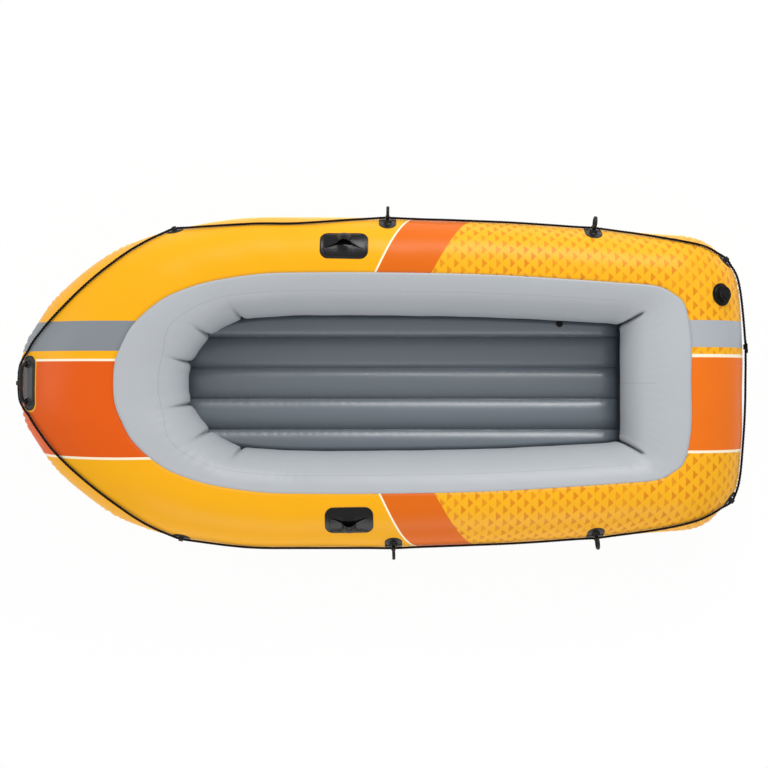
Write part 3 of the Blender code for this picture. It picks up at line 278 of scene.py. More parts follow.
def place_along(angle, t, side):
    """The point of the skin at row t and this angle round the tube."""
    return Vector(Tube([t], side).points(np.array([angle]))[0])


def hull_frame(t, side, angle):
    """A frame on the hull: z outward, y up the tube towards its crown, x across the two."""
    behind = (t + SLOPE_STEP, -side) if t < SLOPE_STEP else (t - SLOPE_STEP, side)
    along = place_along(angle, t + SLOPE_STEP, side) - place_along(angle, *behind)
    upward = place_along(angle + SLOPE_STEP, t, side) - place_along(angle - SLOPE_STEP, t, side)
    outward = along.cross(upward).normalized()
    course = Tube([t], side).outward[0]
    if outward.dot(Vector((*course, 0)) * math.cos(angle) + Vector((0, 0, math.sin(angle)))) < 0:
        outward.negate()
    along = (along - outward * along.dot(outward)).normalized()
    up = outward.cross(along)
    if up.dot(upward) < 0:
        up.negate()
    across = up.cross(outward)
    result = Matrix((across, up, outward)).transposed().to_4x4()
    result.translation = place_along(angle, t, side)
    return result


def row_at(side, angle, axis, value, low=0.0, high=float(LAST_ROW)):
    """The row at which the skin at this angle reaches this x (axis 0) or this |y| (axis 1)."""

    def miss(t):
        place = place_along(angle, t, side)
        return (abs(place.y) if axis else place.x) - value

    rising = miss(high) > miss(low)
    for _ in range(HALVINGS):
        middle = (low + high) / 2
        if (miss(middle) > 0) == rising:
            high = middle
        else:
            low = middle
    return (low + high) / 2


print("tube's crown amidships:", [round(c, 3) for c in place_along(math.pi / 2, LAST_ROW / 2, 1)])

# %% [markdown]
# ## Skins from rings of points
# A tube that closes on itself is a grid of points: rings along the tube, points round each ring.
# Building it from arrays keeps every point's place along and round the tube, and those two numbers
# are stored on the mesh for the print and the seams to follow.

# %% Helpers that make meshes
def link_mesh(name, points, faces):
    mesh = bpy.data.meshes.new(name)
    mesh.from_pydata([tuple(p) for p in points], [], faces)
    mesh.update()
    mesh.shade_smooth()
    item = bpy.data.objects.new(name, mesh)
    bpy.context.scene.collection.objects.link(item)
    return item


def grid_faces(rings, around, close_rings=True, close_around=True):
    """Four-sided faces between neighbouring rings of a grid of points."""
    i = np.arange(rings if close_rings else rings - 1)
    j = np.arange(around if close_around else around - 1)
    ii, jj = np.meshgrid(i, j, indexing="ij")
    i2, j2 = (ii + 1) % rings, (jj + 1) % around
    quads = np.stack((ii * around + jj, ii * around + j2, i2 * around + j2, i2 * around + jj), -1)
    return quads.reshape(-1, 4).tolist()


def thick_sheet_faces(rows, wide):
    """Faces of an upper and a lower grid; also the edge's points and their twins below."""
    top = grid_faces(rows, wide, False, False)
    count = rows * wide
    under = [[i + count for i in reversed(face)] for face in top]
    rim = list(range(wide)) + [i * wide + wide - 1 for i in range(1, rows)]
    rim += [(rows - 1) * wide + j for j in range(wide - 2, -1, -1)]
    rim += [i * wide for i in range(rows - 2, 0, -1)]
    edges = list(zip(rim, rim[1:] + rim[:1]))
    return top + under, edges, count


def turn_outwards(item):
    """Flips a closed skin whose faces all point inwards."""
    shape = bmesh.new()
    shape.from_mesh(item.data)
    inside_out = shape.calc_volume(signed=True) < 0
    shape.free()
    if inside_out:
        item.data.flip_normals()
    return item


def agree_normals(item, merge_distance=0.0):
    """Makes neighbouring faces point the same way, after points closer than this are merged."""
    shape = bmesh.new()
    shape.from_mesh(item.data)
    if merge_distance:
        bmesh.ops.remove_doubles(shape, verts=shape.verts, dist=merge_distance)
    bmesh.ops.recalc_face_normals(shape, faces=shape.faces)
    shape.to_mesh(item.data)
    shape.free()
    return item


def store(item, name, values, kind="FLOAT"):
    """Keeps one number, or a vector, for each point of the mesh."""
    layer = item.data.attributes.new(name, kind, "POINT")
    field = "value" if kind == "FLOAT" else "vector"
    layer.data.foreach_set(field, np.asarray(values, np.float32).ravel())


print("mesh helpers are ready; a grid of 3 by 4 has", len(grid_faces(3, 4)), "faces when closed")


# %% Helpers that finish a piece
def paint(item, material):
    item.data.materials.clear()
    item.data.materials.append(material)


def finish_piece(item, node, body, material):
    """Puts the material on, and lets the piece stand for its CAD node on its body."""
    paint(item, material)
    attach(item, body)
    if node:
        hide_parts(node)
    count = sum(len(p.vertices) - 2 for p in item.data.polygons)
    print(f"{item.name}: {count} triangles")
    return item


# %% [markdown]
# ## Shading by small building blocks
# A node tree reads well when each line is one step. These helpers add a node, set its inputs and
# hand back its output, so a print can be written down almost like a sum.

# %% Helpers that make node trees
INK_SOFTNESS = 0.0006


def plus(tree, first, second, clamp=False):
    return step(tree, "ADD", first, second, clamp=clamp)


def minus(tree, first, second, clamp=False):
    return step(tree, "SUBTRACT", first, second, clamp=clamp)


def times(tree, first, second, clamp=False):
    return step(tree, "MULTIPLY", first, second, clamp=clamp)


def close_to(tree, distance, reach):
    """1 on a line, falling evenly to 0 at this reach from it."""
    return minus(tree, 1.0, step(tree, "DIVIDE", distance, reach), clamp=True)


def between(tree, value, low, high):
    """1 where value lies between low and high, with edges as soft as ink on film."""
    up = step(tree, "DIVIDE", minus(tree, value, low), INK_SOFTNESS, clamp=True)
    down = step(tree, "DIVIDE", minus(tree, high, value), INK_SOFTNESS, clamp=True)
    return times(tree, up, down)


def over(tree, below, colour, mask):
    """Lays a colour over another where the mask is 1."""
    mix = tree.nodes.new("ShaderNodeMix")
    mix.data_type = "RGBA"
    tree.links.new(mask, mix.inputs["Factor"])
    for socket, value in ((mix.inputs[6], below), (mix.inputs[7], colour)):
        if isinstance(value, tuple):
            socket.default_value = (*value, 1)
        else:
            tree.links.new(value, socket)
    return mix.outputs[2]


def noise(tree, vector, scale, detail=2.0, roughness=0.5):
    node = tree.nodes.new("ShaderNodeTexNoise")
    node.inputs["Scale"].default_value = scale
    node.inputs["Detail"].default_value = detail
    node.inputs["Roughness"].default_value = roughness
    tree.links.new(vector, node.inputs["Vector"])
    return node.outputs["Fac"]


def uneven(tree, value, spread):
    """A noise value centred on 0 and scaled."""
    return times(tree, minus(tree, value, 0.5), spread)


def object_place(tree):
    return tree.nodes.new("ShaderNodeTexCoord").outputs["Object"]


def split(tree, vector):
    node = tree.nodes.new("ShaderNodeSeparateXYZ")
    tree.links.new(vector, node.inputs[0])
    return node.outputs


def stored(tree, name, vector=False):
    node = tree.nodes.new("ShaderNodeAttribute")
    node.attribute_name = name
    return node.outputs["Vector" if vector else "Fac"]


def linear(red, green, blue):
    """A colour as a paint chart gives it, 0 to 255, as the shader wants it."""
    def one(value):
        value /= 255
        return value / 12.92 if value <= 0.04045 else ((value + 0.055) / 1.055) ** 2.4
    return (one(red), one(green), one(blue))


print("middle grey for the shader:", round(linear(128, 128, 128)[0], 3))


# %% Helpers that make a finish
def new_finish_group(name, inputs, outputs):
    """An empty shader group; inputs gives each socket's starting value, None for a colour."""
    group = bpy.data.node_groups.new(name, "ShaderNodeTree")
    for socket_name, value in inputs.items():
        kind = "NodeSocketColor" if value is None else "NodeSocketFloat"
        socket = group.interface.new_socket(socket_name, in_out="INPUT", socket_type=kind)
        if value is not None:
            socket.default_value = value
    for socket_name in outputs:
        kind = "NodeSocketColor" if socket_name == "Colour" else "NodeSocketFloat"
        group.interface.new_socket(socket_name, in_out="OUTPUT", socket_type=kind)
    return group, group.nodes.new("NodeGroupInput"), group.nodes.new("NodeGroupOutput")


def finish_material(name, group, colour, values, bump, shine, plain=(0.5, 0.5, 0.5)):
    """A shader behind a finish group; colour is fixed, or a function that draws it."""
    material, tree, shader = plain_material(name, plain, values["Gloss"])
    finish = tree.nodes.new("ShaderNodeGroup")
    finish.node_tree = group
    for socket_name, value in values.items():
        finish.inputs[socket_name].default_value = value
    if callable(colour):
        tree.links.new(colour(tree), finish.inputs["Colour"])
    else:
        finish.inputs["Colour"].default_value = (*colour, 1)
        material.diffuse_color = (*colour, 1)
    tree.links.new(finish.outputs["Colour"], shader.inputs["Base Color"])
    tree.links.new(finish.outputs["Roughness"], shader.inputs["Roughness"])
    dent = tree.nodes.new("ShaderNodeBump")
    dent.inputs["Distance"].default_value = bump
    tree.links.new(finish.outputs["Height"], dent.inputs["Height"])
    tree.links.new(dent.outputs[0], shader.inputs["Normal"])
    shader.inputs["Specular IOR Level"].default_value = shine
    return material


print("finish helpers are ready")

# %% [markdown]
# ### The film's finish
# Calendered vinyl film has a faint grain, it scatters a little more light where it has been folded,
# and its gloss is uneven over a hand's width. The grey chamber, the yellow chamber and the floor all
# have it, so it is one node group with named inputs, used for each with other numbers.

# %% Node group: vinyl film
FILM_BUMP = 0.0004


def make_film_group():
    inputs = {"Colour": None, "Gloss": 0.35, "Unevenness": 0.06, "Grain Height": 0.2}
    group, start, end = new_finish_group("vinyl_film", inputs, ("Colour", "Roughness", "Height"))
    place = object_place(group)
    wide = noise(group, place, 7.0, 3.0)
    fine = noise(group, place, 900.0, 2.0, 0.6)
    scuff = noise(group, place, 55.0, 6.0, 0.65)
    shift = uneven(group, wide, start.outputs["Unevenness"])
    rough = plus(group, start.outputs["Gloss"], times(group, shift, 2.0))
    rough = plus(group, rough, uneven(group, scuff, 0.08))
    group.links.new(rough, end.inputs["Roughness"])
    tone = group.nodes.new("ShaderNodeHueSaturation")
    group.links.new(start.outputs["Colour"], tone.inputs["Color"])
    value = plus(group, times(group, shift, 0.8), 1.0)
    group.links.new(value, tone.inputs["Value"])
    group.links.new(tone.outputs[0], end.inputs["Colour"])
    grain = times(group, fine, start.outputs["Grain Height"])
    sag = times(group, noise(group, place, 22.0, 2.0), 1.2)
    group.links.new(plus(group, grain, sag), end.inputs["Height"])
    return group


FILM = make_film_group()


def film_material(name, colour, gloss, unevenness, grain, shine=0.35):
    values = {"Gloss": gloss, "Unevenness": unevenness, "Grain Height": grain}
    return finish_material(name, FILM, colour, values, FILM_BUMP, shine)


print("film group made, with", len(FILM.nodes), "nodes")

# %% [markdown]
# ## The print on the yellow chamber
# The real film is printed flat before it is welded, so its bands bend with the tube. The bands at the
# bow and the stern run straight fore and aft and follow the place in plan. The slanted bands on the
# sides and the staggered triangles follow the film, so they read the distance round the tube that is
# stored on the mesh.

# %% Print colours and the painted sheen at the seam
YELLOW = linear(241, 171, 14)
AFT_YELLOW = linear(241, 174, 26)
TRIANGLE = linear(214, 129, 18)
SIDE_ORANGE = linear(218, 103, 14)
BOW_ORANGE = linear(220, 88, 8)
STERN_ORANGE = linear(230, 112, 20)
BOW_GREY = linear(128, 134, 139)
STERN_GREY = linear(166, 171, 177)
LINE_WHITE = linear(246, 235, 208)
# Painted sheen: a pale colour laid in streaks near the outer seam, where the film catches light.
PAINTED_SEAM_SHEEN = linear(255, 224, 148)
print("yellow for the shader:", [round(c, 3) for c in YELLOW])

# %% The triangles
TRIANGLE_PITCH_X, TRIANGLE_PITCH_Y = 0.0440, 0.0442
TRIANGLE_WIDTH, TRIANGLE_HALF_HEIGHT, TRIANGLE_SOFTNESS = 0.0170, 0.0160, 0.0012
FAINTEST_TRIANGLE, TRIANGLE_SPREAD = 0.55, 0.40


def triangle_mask(tree, x, y, shift):
    """Triangles that point aft, one in each cell of a lattice, each printed with its own strength."""
    cell_x = plus(tree, step(tree, "DIVIDE", x, TRIANGLE_PITCH_X), shift)
    cell_y = plus(tree, step(tree, "DIVIDE", y, TRIANGLE_PITCH_Y), shift)
    px = times(tree, step(tree, "FRACT", cell_x), TRIANGLE_PITCH_X)
    py = minus(tree, step(tree, "FRACT", cell_y), 0.5)
    py = times(tree, py, TRIANGLE_PITCH_Y)
    slope = TRIANGLE_HALF_HEIGHT / TRIANGLE_WIDTH
    reach = minus(tree, TRIANGLE_HALF_HEIGHT, times(tree, px, slope))
    inside = minus(tree, reach, step(tree, "ABSOLUTE", py))
    mark = step(tree, "DIVIDE", inside, TRIANGLE_SOFTNESS, clamp=True)
    cell = tree.nodes.new("ShaderNodeCombineXYZ")
    tree.links.new(step(tree, "FLOOR", cell_x), cell.inputs[0])
    tree.links.new(step(tree, "FLOOR", cell_y), cell.inputs[1])
    draw = tree.nodes.new("ShaderNodeTexWhiteNoise")
    tree.links.new(cell.outputs[0], draw.inputs["Vector"])
    strength = plus(tree, times(tree, draw.outputs["Value"], TRIANGLE_SPREAD), FAINTEST_TRIANGLE)
    return times(tree, mark, strength)


print("triangles to a metre of film:", round(2 / TRIANGLE_PITCH_X))

# %% The keyline round the bow handle
HANDLE_LENGTH, HANDLE_WIDTH, HANDLE_CORNER = 0.172, 0.070, 0.028
HANDLE_X, HANDLE_Z = -1.11183, 0.33241
HANDLE_SLOPE_X, HANDLE_SLOPE_Z = 0.718, 0.696
KEYLINE_WIDTH = 0.0052


def handle_distance(tree, x, y, z):
    """How far a place on the bow lies outside the outline of the handle's patch."""
    lift = times(tree, minus(tree, x, HANDLE_X), HANDLE_SLOPE_X)
    lift = plus(tree, lift, times(tree, minus(tree, z, HANDLE_Z), HANDLE_SLOPE_Z))
    out = minus(tree, step(tree, "ABSOLUTE", y), HANDLE_LENGTH / 2 - HANDLE_CORNER)
    up = minus(tree, step(tree, "ABSOLUTE", lift), HANDLE_WIDTH / 2 - HANDLE_CORNER)
    out, up = step(tree, "MAXIMUM", out, 0.0), step(tree, "MAXIMUM", up, 0.0)
    reach = step(tree, "SQRT", plus(tree, times(tree, out, out), times(tree, up, up)))
    return minus(tree, reach, HANDLE_CORNER)


print("keyline round the handle:", KEYLINE_WIDTH * 1000, "mm")

# %% The whole print
BAND_SLANT, BAND_PORT_SHIFT = 0.485, 0.0135
AFT_SLANT, AFT_PORT_SHIFT, AFT_START = 0.57, 0.010, 0.148
SIDE_LINE_START, SIDE_LINE_END = -0.0307, -0.0235
# How far round the tube from the outer seam the painted sheen reaches, and the size of its streaks.
SEAM_SHEEN_REACH, SHEEN_STREAK_SCALE = 0.42, 42.0
BOW_PRINT_END, STERN_PRINT_START = -0.55, 0.82
BOW_DRIFT_START, BOW_DRIFT = -0.82, 0.085
BANDS = (  # at the bow or not, along the drifting line or not, from y, to y, paint
    (True, False, 0.0985, 0.1915, BOW_GREY),
    (True, False, 0.0665, 0.0985, YELLOW),
    (True, True, -0.2290, 0.0675, BOW_ORANGE),
    (True, False, 0.0668, 0.0745, LINE_WHITE),
    (True, True, -0.2365, -0.2285, LINE_WHITE),
    (False, False, 0.1125, 0.1975, STERN_GREY),
    (False, False, -0.2115, 0.0810, STERN_ORANGE),
    (False, False, 0.0808, 0.0915, LINE_WHITE),
    (False, False, -0.2200, -0.2110, LINE_WHITE),
)


def slanted(tree, x, girth, port, slant, port_shift):
    """How far aft a place lies of a line that slants with the film round the tube."""
    return minus(tree, minus(tree, x, times(tree, girth, slant)), times(tree, port, port_shift))


def draw_print(tree):
    """The yellow chamber's colours, with a painted sheen near the outer seam."""
    x, y, z = split(tree, object_place(tree))
    girth = stored(tree, "girth")
    angle = stored(tree, "section_angle")
    film_x, film_y = split(tree, stored(tree, "film_place", vector=True))[:2]
    upper = step(tree, "GREATER_THAN", angle, 0.0)
    port = step(tree, "LESS_THAN", y, 0.0)
    band = slanted(tree, x, girth, port, BAND_SLANT, BAND_PORT_SHIFT)
    aft_band = slanted(tree, x, girth, port, AFT_SLANT, AFT_PORT_SHIFT)
    aft = times(tree, step(tree, "GREATER_THAN", aft_band, AFT_START), upper)
    colour = over(tree, YELLOW, AFT_YELLOW, aft)
    # Painted sheen: pale streaks that fade away from the outer seam.
    edge = close_to(tree, step(tree, "ABSOLUTE", angle), SEAM_SHEEN_REACH)
    sheen_streak = noise(tree, object_place(tree), SHEEN_STREAK_SCALE, 3.0, 0.6)
    colour = over(tree, colour, PAINTED_SEAM_SHEEN, times(tree, edge, sheen_streak))
    even, odd = (triangle_mask(tree, film_x, film_y, shift) for shift in (0.0, 0.5))
    marks = step(tree, "MAXIMUM", even, odd)
    colour = over(tree, colour, TRIANGLE, times(tree, marks, aft))
    behind_line = step(tree, "GREATER_THAN", band, SIDE_LINE_END)
    orange = times(tree, behind_line, step(tree, "LESS_THAN", aft_band, AFT_START))
    colour = over(tree, colour, SIDE_ORANGE, times(tree, orange, upper))
    line = times(tree, between(tree, band, SIDE_LINE_START, SIDE_LINE_END), upper)
    colour = over(tree, colour, LINE_WHITE, line)

    bow = times(tree, step(tree, "LESS_THAN", x, BOW_PRINT_END), upper)
    stern = times(tree, step(tree, "GREATER_THAN", x, STERN_PRINT_START), upper)
    tip = minus(tree, BOW_DRIFT_START, x)
    drifting_y = minus(tree, y, times(tree, times(tree, tip, tip), BOW_DRIFT))
    for at_bow, drifts, low, high, colour_of_band in BANDS:
        mask = between(tree, drifting_y if drifts else y, low, high)
        colour = over(tree, colour, colour_of_band, times(tree, mask, bow if at_bow else stern))
    keyline = step(tree, "LESS_THAN", handle_distance(tree, x, y, z), KEYLINE_WIDTH)
    return over(tree, colour, YELLOW, times(tree, keyline, bow))


PRINTED_FILM = film_material("printed_yellow_film", draw_print, 0.38, 0.05, 0.10, shine=0.20)
print("print drawn with", len(PRINTED_FILM.node_tree.nodes), "nodes")

# %% [markdown]
# ## The two hull chambers
# Each chamber is a closed skin: out round the tube, along the flat strip it rests on, and back up the
# wall inside. The outer chamber's seam is longer than the edge it is welded to, so the film gathers
# into puckers at the bow quarters and the stern corners. They are ripples that run across the seam
# and die out within a hand's width of it.

# %% Rings along the tube
RINGS_PER_ROW = (32, 32, 44, 60, 44, 40, 24, 20, 20, 20, 20, 24, 38, 36, 50, 40)
HALF_ROWS = np.concatenate(
    [row + np.arange(count) / count for row, count in enumerate(RINGS_PER_ROW)] + [[float(LAST_ROW)]]
)
LOOP_T = np.concatenate((HALF_ROWS, HALF_ROWS[::-1][1:-1]))
LOOP_SIDE = np.concatenate((np.ones(len(HALF_ROWS)), -np.ones(len(HALF_ROWS) - 2)))
LOOP = Tube(LOOP_T, LOOP_SIDE)


def loop_distance(points):
    """Distance along a closed loop of plan points, at each point."""
    hop = np.linalg.norm(np.roll(points, -1, axis=0) - points, axis=1)
    return np.concatenate(([0.0], np.cumsum(hop)[:-1])), hop.sum()


def plan_bend(points, reach=8):
    """How tightly the loop bends at each point, in 1/m."""
    ahead = np.roll(points, -reach, axis=0) - points
    behind = points - np.roll(points, reach, axis=0)
    turn = np.arctan2(ahead[:, 1], ahead[:, 0]) - np.arctan2(behind[:, 1], behind[:, 0])
    turn = (turn + math.pi) % (2 * math.pi) - math.pi
    return np.abs(turn) / (0.5 * (np.linalg.norm(ahead, axis=1) + np.linalg.norm(behind, axis=1)))


EDGE_DISTANCE, EDGE_LENGTH = loop_distance(LOOP.outer)
EDGE_LAP = 2 * math.pi * EDGE_DISTANCE / EDGE_LENGTH
BEND = plan_bend(LOOP.outer)
print("rings along the tube:", len(LOOP_T), "- outer edge of the hull:", round(EDGE_LENGTH, 3), "m")

# %% Puckers and slow unevenness
PUCKER_LENGTH = 0.023
PUCKERS = round(EDGE_LENGTH / PUCKER_LENGTH)
CALM_PUCKER, BENT_PUCKER = 0.0004, 0.0032
PUCKER_ANGLE, BENT_PUCKER_ANGLE = 13, 8
SAG_DEPTH = 0.0005
CALM_ANGLE = math.radians(12)


def seam_pucker(angle):
    """Ripples of the film beside the outer seam, in metres."""
    phase = PUCKERS * EDGE_LAP + 1.1 * np.sin(61 * EDGE_LAP) + 0.6 * np.sin(97 * EDGE_LAP + 1.0)
    ripple = (1.7 * np.abs(np.sin(phase / 2)) - 0.9) * (0.75 + 0.25 * np.sin(43 * EDGE_LAP))
    strength = CALM_PUCKER + BENT_PUCKER * smooth((BEND - 0.5) / 2.0)
    reach = np.radians(PUCKER_ANGLE + BENT_PUCKER_ANGLE * smooth((BEND - 0.7) / 2.2))
    return strength * ripple * np.exp(-((angle / reach) ** 2))


def film_sag(angle):
    """Slow unevenness of stretched film."""
    return SAG_DEPTH * (np.sin(17 * EDGE_LAP + 3.1 * angle) + np.sin(29 * EDGE_LAP - 4.3 * angle + 1.3))


print("puckers round the hull:", PUCKERS)

# %% The yellow outer chamber
OUTER_ARC_STEPS = 54
WALL_SHARES = (0.0, 0.35, 0.7)
WALL_MARK = -2.0


def outer_ring(share):
    """The skin at a share of the way from the wall's top round to the flat."""
    angle = LOOP.top_angle + (-LOOP.low_angle - LOOP.top_angle) * share
    calm = smooth((LOOP.top_angle - angle) / CALM_ANGLE)
    points = LOOP.points(angle, seam_pucker(angle) + calm * film_sag(angle))
    points[:, 2] = np.maximum(points[:, 2], LOOP.base)
    return angle, points


def closed_skin(name, rings):
    """A closed skin through rings of points, its faces outwards."""
    points = np.stack(rings, axis=1)
    return turn_outwards(link_mesh(name, points.reshape(-1, 3), grid_faces(*points.shape[:2])))


def make_outer_chamber():
    rings, angles, girths = [], [], []
    girth = np.zeros(len(LOOP_T))
    last = None
    for share in np.linspace(0, 1, OUTER_ARC_STEPS + 1):
        angle, points = outer_ring(share)
        plain = LOOP.points(angle)
        if last is not None:
            girth = girth + np.linalg.norm(plain - last, axis=1)
        last = plain
        rings.append(points)
        angles.append(angle)
        girths.append(girth.copy())
    foot = np.column_stack((LOOP.middle, LOOP.base))
    for share in WALL_SHARES:
        rings.append(foot + (rings[0] - foot) * share)
        angles.append(np.full(len(LOOP_T), WALL_MARK))
        girths.append(girth.copy())
    item = closed_skin("outer_hull_chamber", rings)
    girths = np.stack(girths, axis=1)
    store(item, "section_angle", np.stack(angles, axis=1).ravel())
    store(item, "girth", girths.ravel())
    film = np.zeros((*girths.shape, 3))
    film[:, :, :2] = rings[0][:, None, :2] + LOOP.outward[:, None, :] * girths[:, :, None]
    store(item, "film_place", film.reshape(-1, 3), "FLOAT_VECTOR")
    return item


outer_chamber = make_outer_chamber()
finish_piece(outer_chamber, "main_chamber", "hull", PRINTED_FILM)
HULL_SKIN = BVHTree.FromPolygons(
    [v.co.copy() for v in outer_chamber.data.vertices],
    [tuple(p.vertices) for p in outer_chamber.data.polygons],
)

# %% [markdown]
# ### Darts in the grey chamber
# The grey chamber has darts sewn into its cockpit side, where a straight strip of film has to go
# round a corner. Each dart is a fold: a narrow valley that is deepest at the widest point of the
# bulge, with the film swelling into pillows on both sides. A weld line runs round the top of them.

# %% Darts
BOW_DARTS, STERN_DARTS = (2, 4, 6), (13,)
DART_DEPTH, DART_REACH, DART_SHARE = 0.011, 0.75, 0.55
DART_END_ANGLE, DART_END_EASE = math.radians(205), math.radians(25)
SWELL_HEIGHT, SWELL_PLACE, SWELL_WIDTH = 0.0012, 4.5, 2.4
# Where a dart starts round the tube, over how many degrees it deepens, its width and depth in
# metres, and how much shade is painted into its crease. Those at the stern are narrower and sharper.
BOW_DART = (130, 40, 0.0048, 0.0100, 0.55)
STERN_DART = (128, 14, 0.0036, 0.0135, 1.0)
DARTS = [(row, BOW_DART) for row in BOW_DARTS] + [(row, STERN_DART) for row in STERN_DARTS]

INNER_DISTANCE, INNER_LENGTH = loop_distance(LOOP.inner)
INNER_LAP = 2 * math.pi * INNER_DISTANCE / INNER_LENGTH
ROW_LENGTH = np.abs(np.gradient(INNER_DISTANCE[: len(HALF_ROWS)], HALF_ROWS))
ROW_LENGTH = np.concatenate((ROW_LENGTH, ROW_LENGTH[::-1][1:-1]))


def dart_pull(angle):
    """How far the darts draw the inner side in at each ring, and how much shade is painted there."""
    rising = (angle - math.pi / 2) / (math.pi / 2)
    pull = np.zeros(len(LOOP_T))
    mark = np.zeros(len(LOOP_T))
    for row, (start, ease, width, depth, shade) in DARTS:
        away = np.abs(LOOP_T - row)
        metres = away * ROW_LENGTH
        soft = np.clip(1 - away / DART_REACH, 0, 1) ** 2 * smooth((rising - 0.30) / 0.70)
        top = smooth((angle - math.radians(start)) / math.radians(ease))
        low = 1 - smooth((angle - DART_END_ANGLE) / DART_END_EASE)
        narrow = np.exp(-((metres / width) ** 2)) * top * low
        beside = (metres - SWELL_PLACE * width) / (SWELL_WIDTH * width)
        swell = np.exp(-(beside ** 2)) * top * low
        pull += DART_DEPTH * DART_SHARE * soft + depth * narrow - SWELL_HEIGHT * swell
        # painted shade for the crease, strongest on its middle line
        mark = np.maximum(mark, narrow * shade)
    return pull, mark


print("darts in the whole cockpit:", 2 * len(DARTS))

# %% The grey film's colours
GREY_FILM_COLOUR = linear(175, 179, 183)
# The fold colour is painted shade, laid into the creases of the darts.
WELD_COLOUR, PAINTED_FOLD_SHADE_COLOUR = linear(120, 126, 131), linear(48, 52, 56)
WELD_LINE_REACH, JOINT_REACH = 0.007, 0.0015
WELD_END_X, WELD_END_EASE, JOINT_START_X = 0.80, 0.06, 0.5
WELD_LINE_STRENGTH, JOINT_STRENGTH, PAINTED_FOLD_SHADE_STRENGTH = 0.5, 0.6, 0.8


def draw_grey(tree):
    """Light grey film with a darker weld line, a butt joint at the stern and painted crease shade."""
    angle = stored(tree, "section_angle")
    x, y = split(tree, object_place(tree))[:2]
    seam = stored(tree, "seam_angle")
    line = close_to(tree, step(tree, "ABSOLUTE", minus(tree, angle, seam)), WELD_LINE_REACH)
    forward = step(tree, "DIVIDE", minus(tree, WELD_END_X, x), WELD_END_EASE, clamp=True)
    line = times(tree, line, times(tree, forward, WELD_LINE_STRENGTH))
    joint = close_to(tree, step(tree, "ABSOLUTE", y), JOINT_REACH)
    joint = times(tree, joint, step(tree, "GREATER_THAN", x, JOINT_START_X))
    joint = times(tree, joint, step(tree, "GREATER_THAN", angle, seam))
    line = step(tree, "MAXIMUM", line, times(tree, joint, JOINT_STRENGTH))
    film = over(tree, GREY_FILM_COLOUR, WELD_COLOUR, line)
    # Painted shade: each dart's crease is darkened in colour, strongest on its line.
    painted_fold_shade = stored(tree, "painted_fold_shade")
    dark = times(tree, times(tree, painted_fold_shade, painted_fold_shade), PAINTED_FOLD_SHADE_STRENGTH)
    return over(tree, film, PAINTED_FOLD_SHADE_COLOUR, dark)


GREY_FILM = film_material("light_grey_film", draw_grey, 0.40, 0.05, 0.10)
print("grey film made:", GREY_FILM.name)

# %% The grey inner chamber
INNER_ARC_STEPS = 60
INNER_SAG, WELD_DEPTH, WELD_RIPPLE = 0.0003, 0.0007, 0.0003
WELD_ANGLE, WELD_RIPPLE_ANGLE = math.radians(0.9), math.radians(9)
WALL_GAP, TOP_GAP_ANGLE = 0.0006, 0.0008
INNER_WALL_MARK = 9.0
SEAM_ANGLE = np.radians(124 + 13 * smooth((-0.60 - LOOP.inner[:, 0]) / 0.06 + 0.5))


def inner_ring(angle):
    """The skin of the grey chamber at one angle, and the painted shade of its creases."""
    pull, mark = dart_pull(angle)
    calm = smooth((angle - LOOP.top_angle) / CALM_ANGLE)
    waves = np.sin(13 * INNER_LAP + 2.0 * angle) + np.sin(23 * INNER_LAP - 3.0 * angle)
    sag = INNER_SAG * calm * waves
    groove = -WELD_DEPTH * np.exp(-(((angle - SEAM_ANGLE) / WELD_ANGLE) ** 2))
    ripple_reach = np.exp(-(((angle - SEAM_ANGLE) / WELD_RIPPLE_ANGLE) ** 2))
    ripple = WELD_RIPPLE * ripple_reach * np.sin(INNER_LAP * 130 + np.sin(INNER_LAP * 37))
    points = LOOP.points(angle, sag + groove + ripple)
    points[:, :2] += LOOP.outward * pull[:, None]
    points[:, 2] = np.maximum(points[:, 2], LOOP.base)
    return points, mark


def make_inner_chamber():
    last_angle = math.pi + LOOP.low_angle
    rings, angles, painted_fold_shades = [], [], []
    for share in np.linspace(0, 1, INNER_ARC_STEPS + 1):
        angle = LOOP.top_angle + TOP_GAP_ANGLE + (last_angle - LOOP.top_angle) * share
        ring, mark = inner_ring(angle)
        rings.append(ring)
        angles.append(angle)
        painted_fold_shades.append(mark)
    foot = np.column_stack((LOOP.middle - LOOP.outward * WALL_GAP, LOOP.base))
    for share in WALL_SHARES:
        rings.append(foot + (rings[0] - foot) * share)
        angles.append(np.full(len(LOOP_T), INNER_WALL_MARK))
        painted_fold_shades.append(np.zeros(len(LOOP_T)))
    item = closed_skin("inner_hull_chamber", rings)
    store(item, "section_angle", np.stack(angles, axis=1).ravel())
    store(item, "seam_angle", np.repeat(SEAM_ANGLE, len(rings)))
    store(item, "painted_fold_shade", np.stack(painted_fold_shades, axis=1).ravel())
    return item


finish_piece(make_inner_chamber(), "inner_chamber", "hull", GREY_FILM)

# %% [markdown]
# ## The outer seam
# The two halves of the yellow film are pressed together in a flat flange that runs round the hull.
# It is welded, so its edge is rounded over, and it follows the puckers beside it. It is one ring of
# points, a thin rounded strip in section, carried round the whole loop.

# %% Seam flange
SEAM_WIDTH, SEAM_THICKNESS, SEAM_SUNK = 0.0045, 0.0013, 0.0015
SEAM_WAVE = 0.0011
# The upper half of the strip's section: share of the width, share of the thickness.
SEAM_SECTION = ((0.4, 0.5), (0.9, 0.45), (1.0, 0.15))


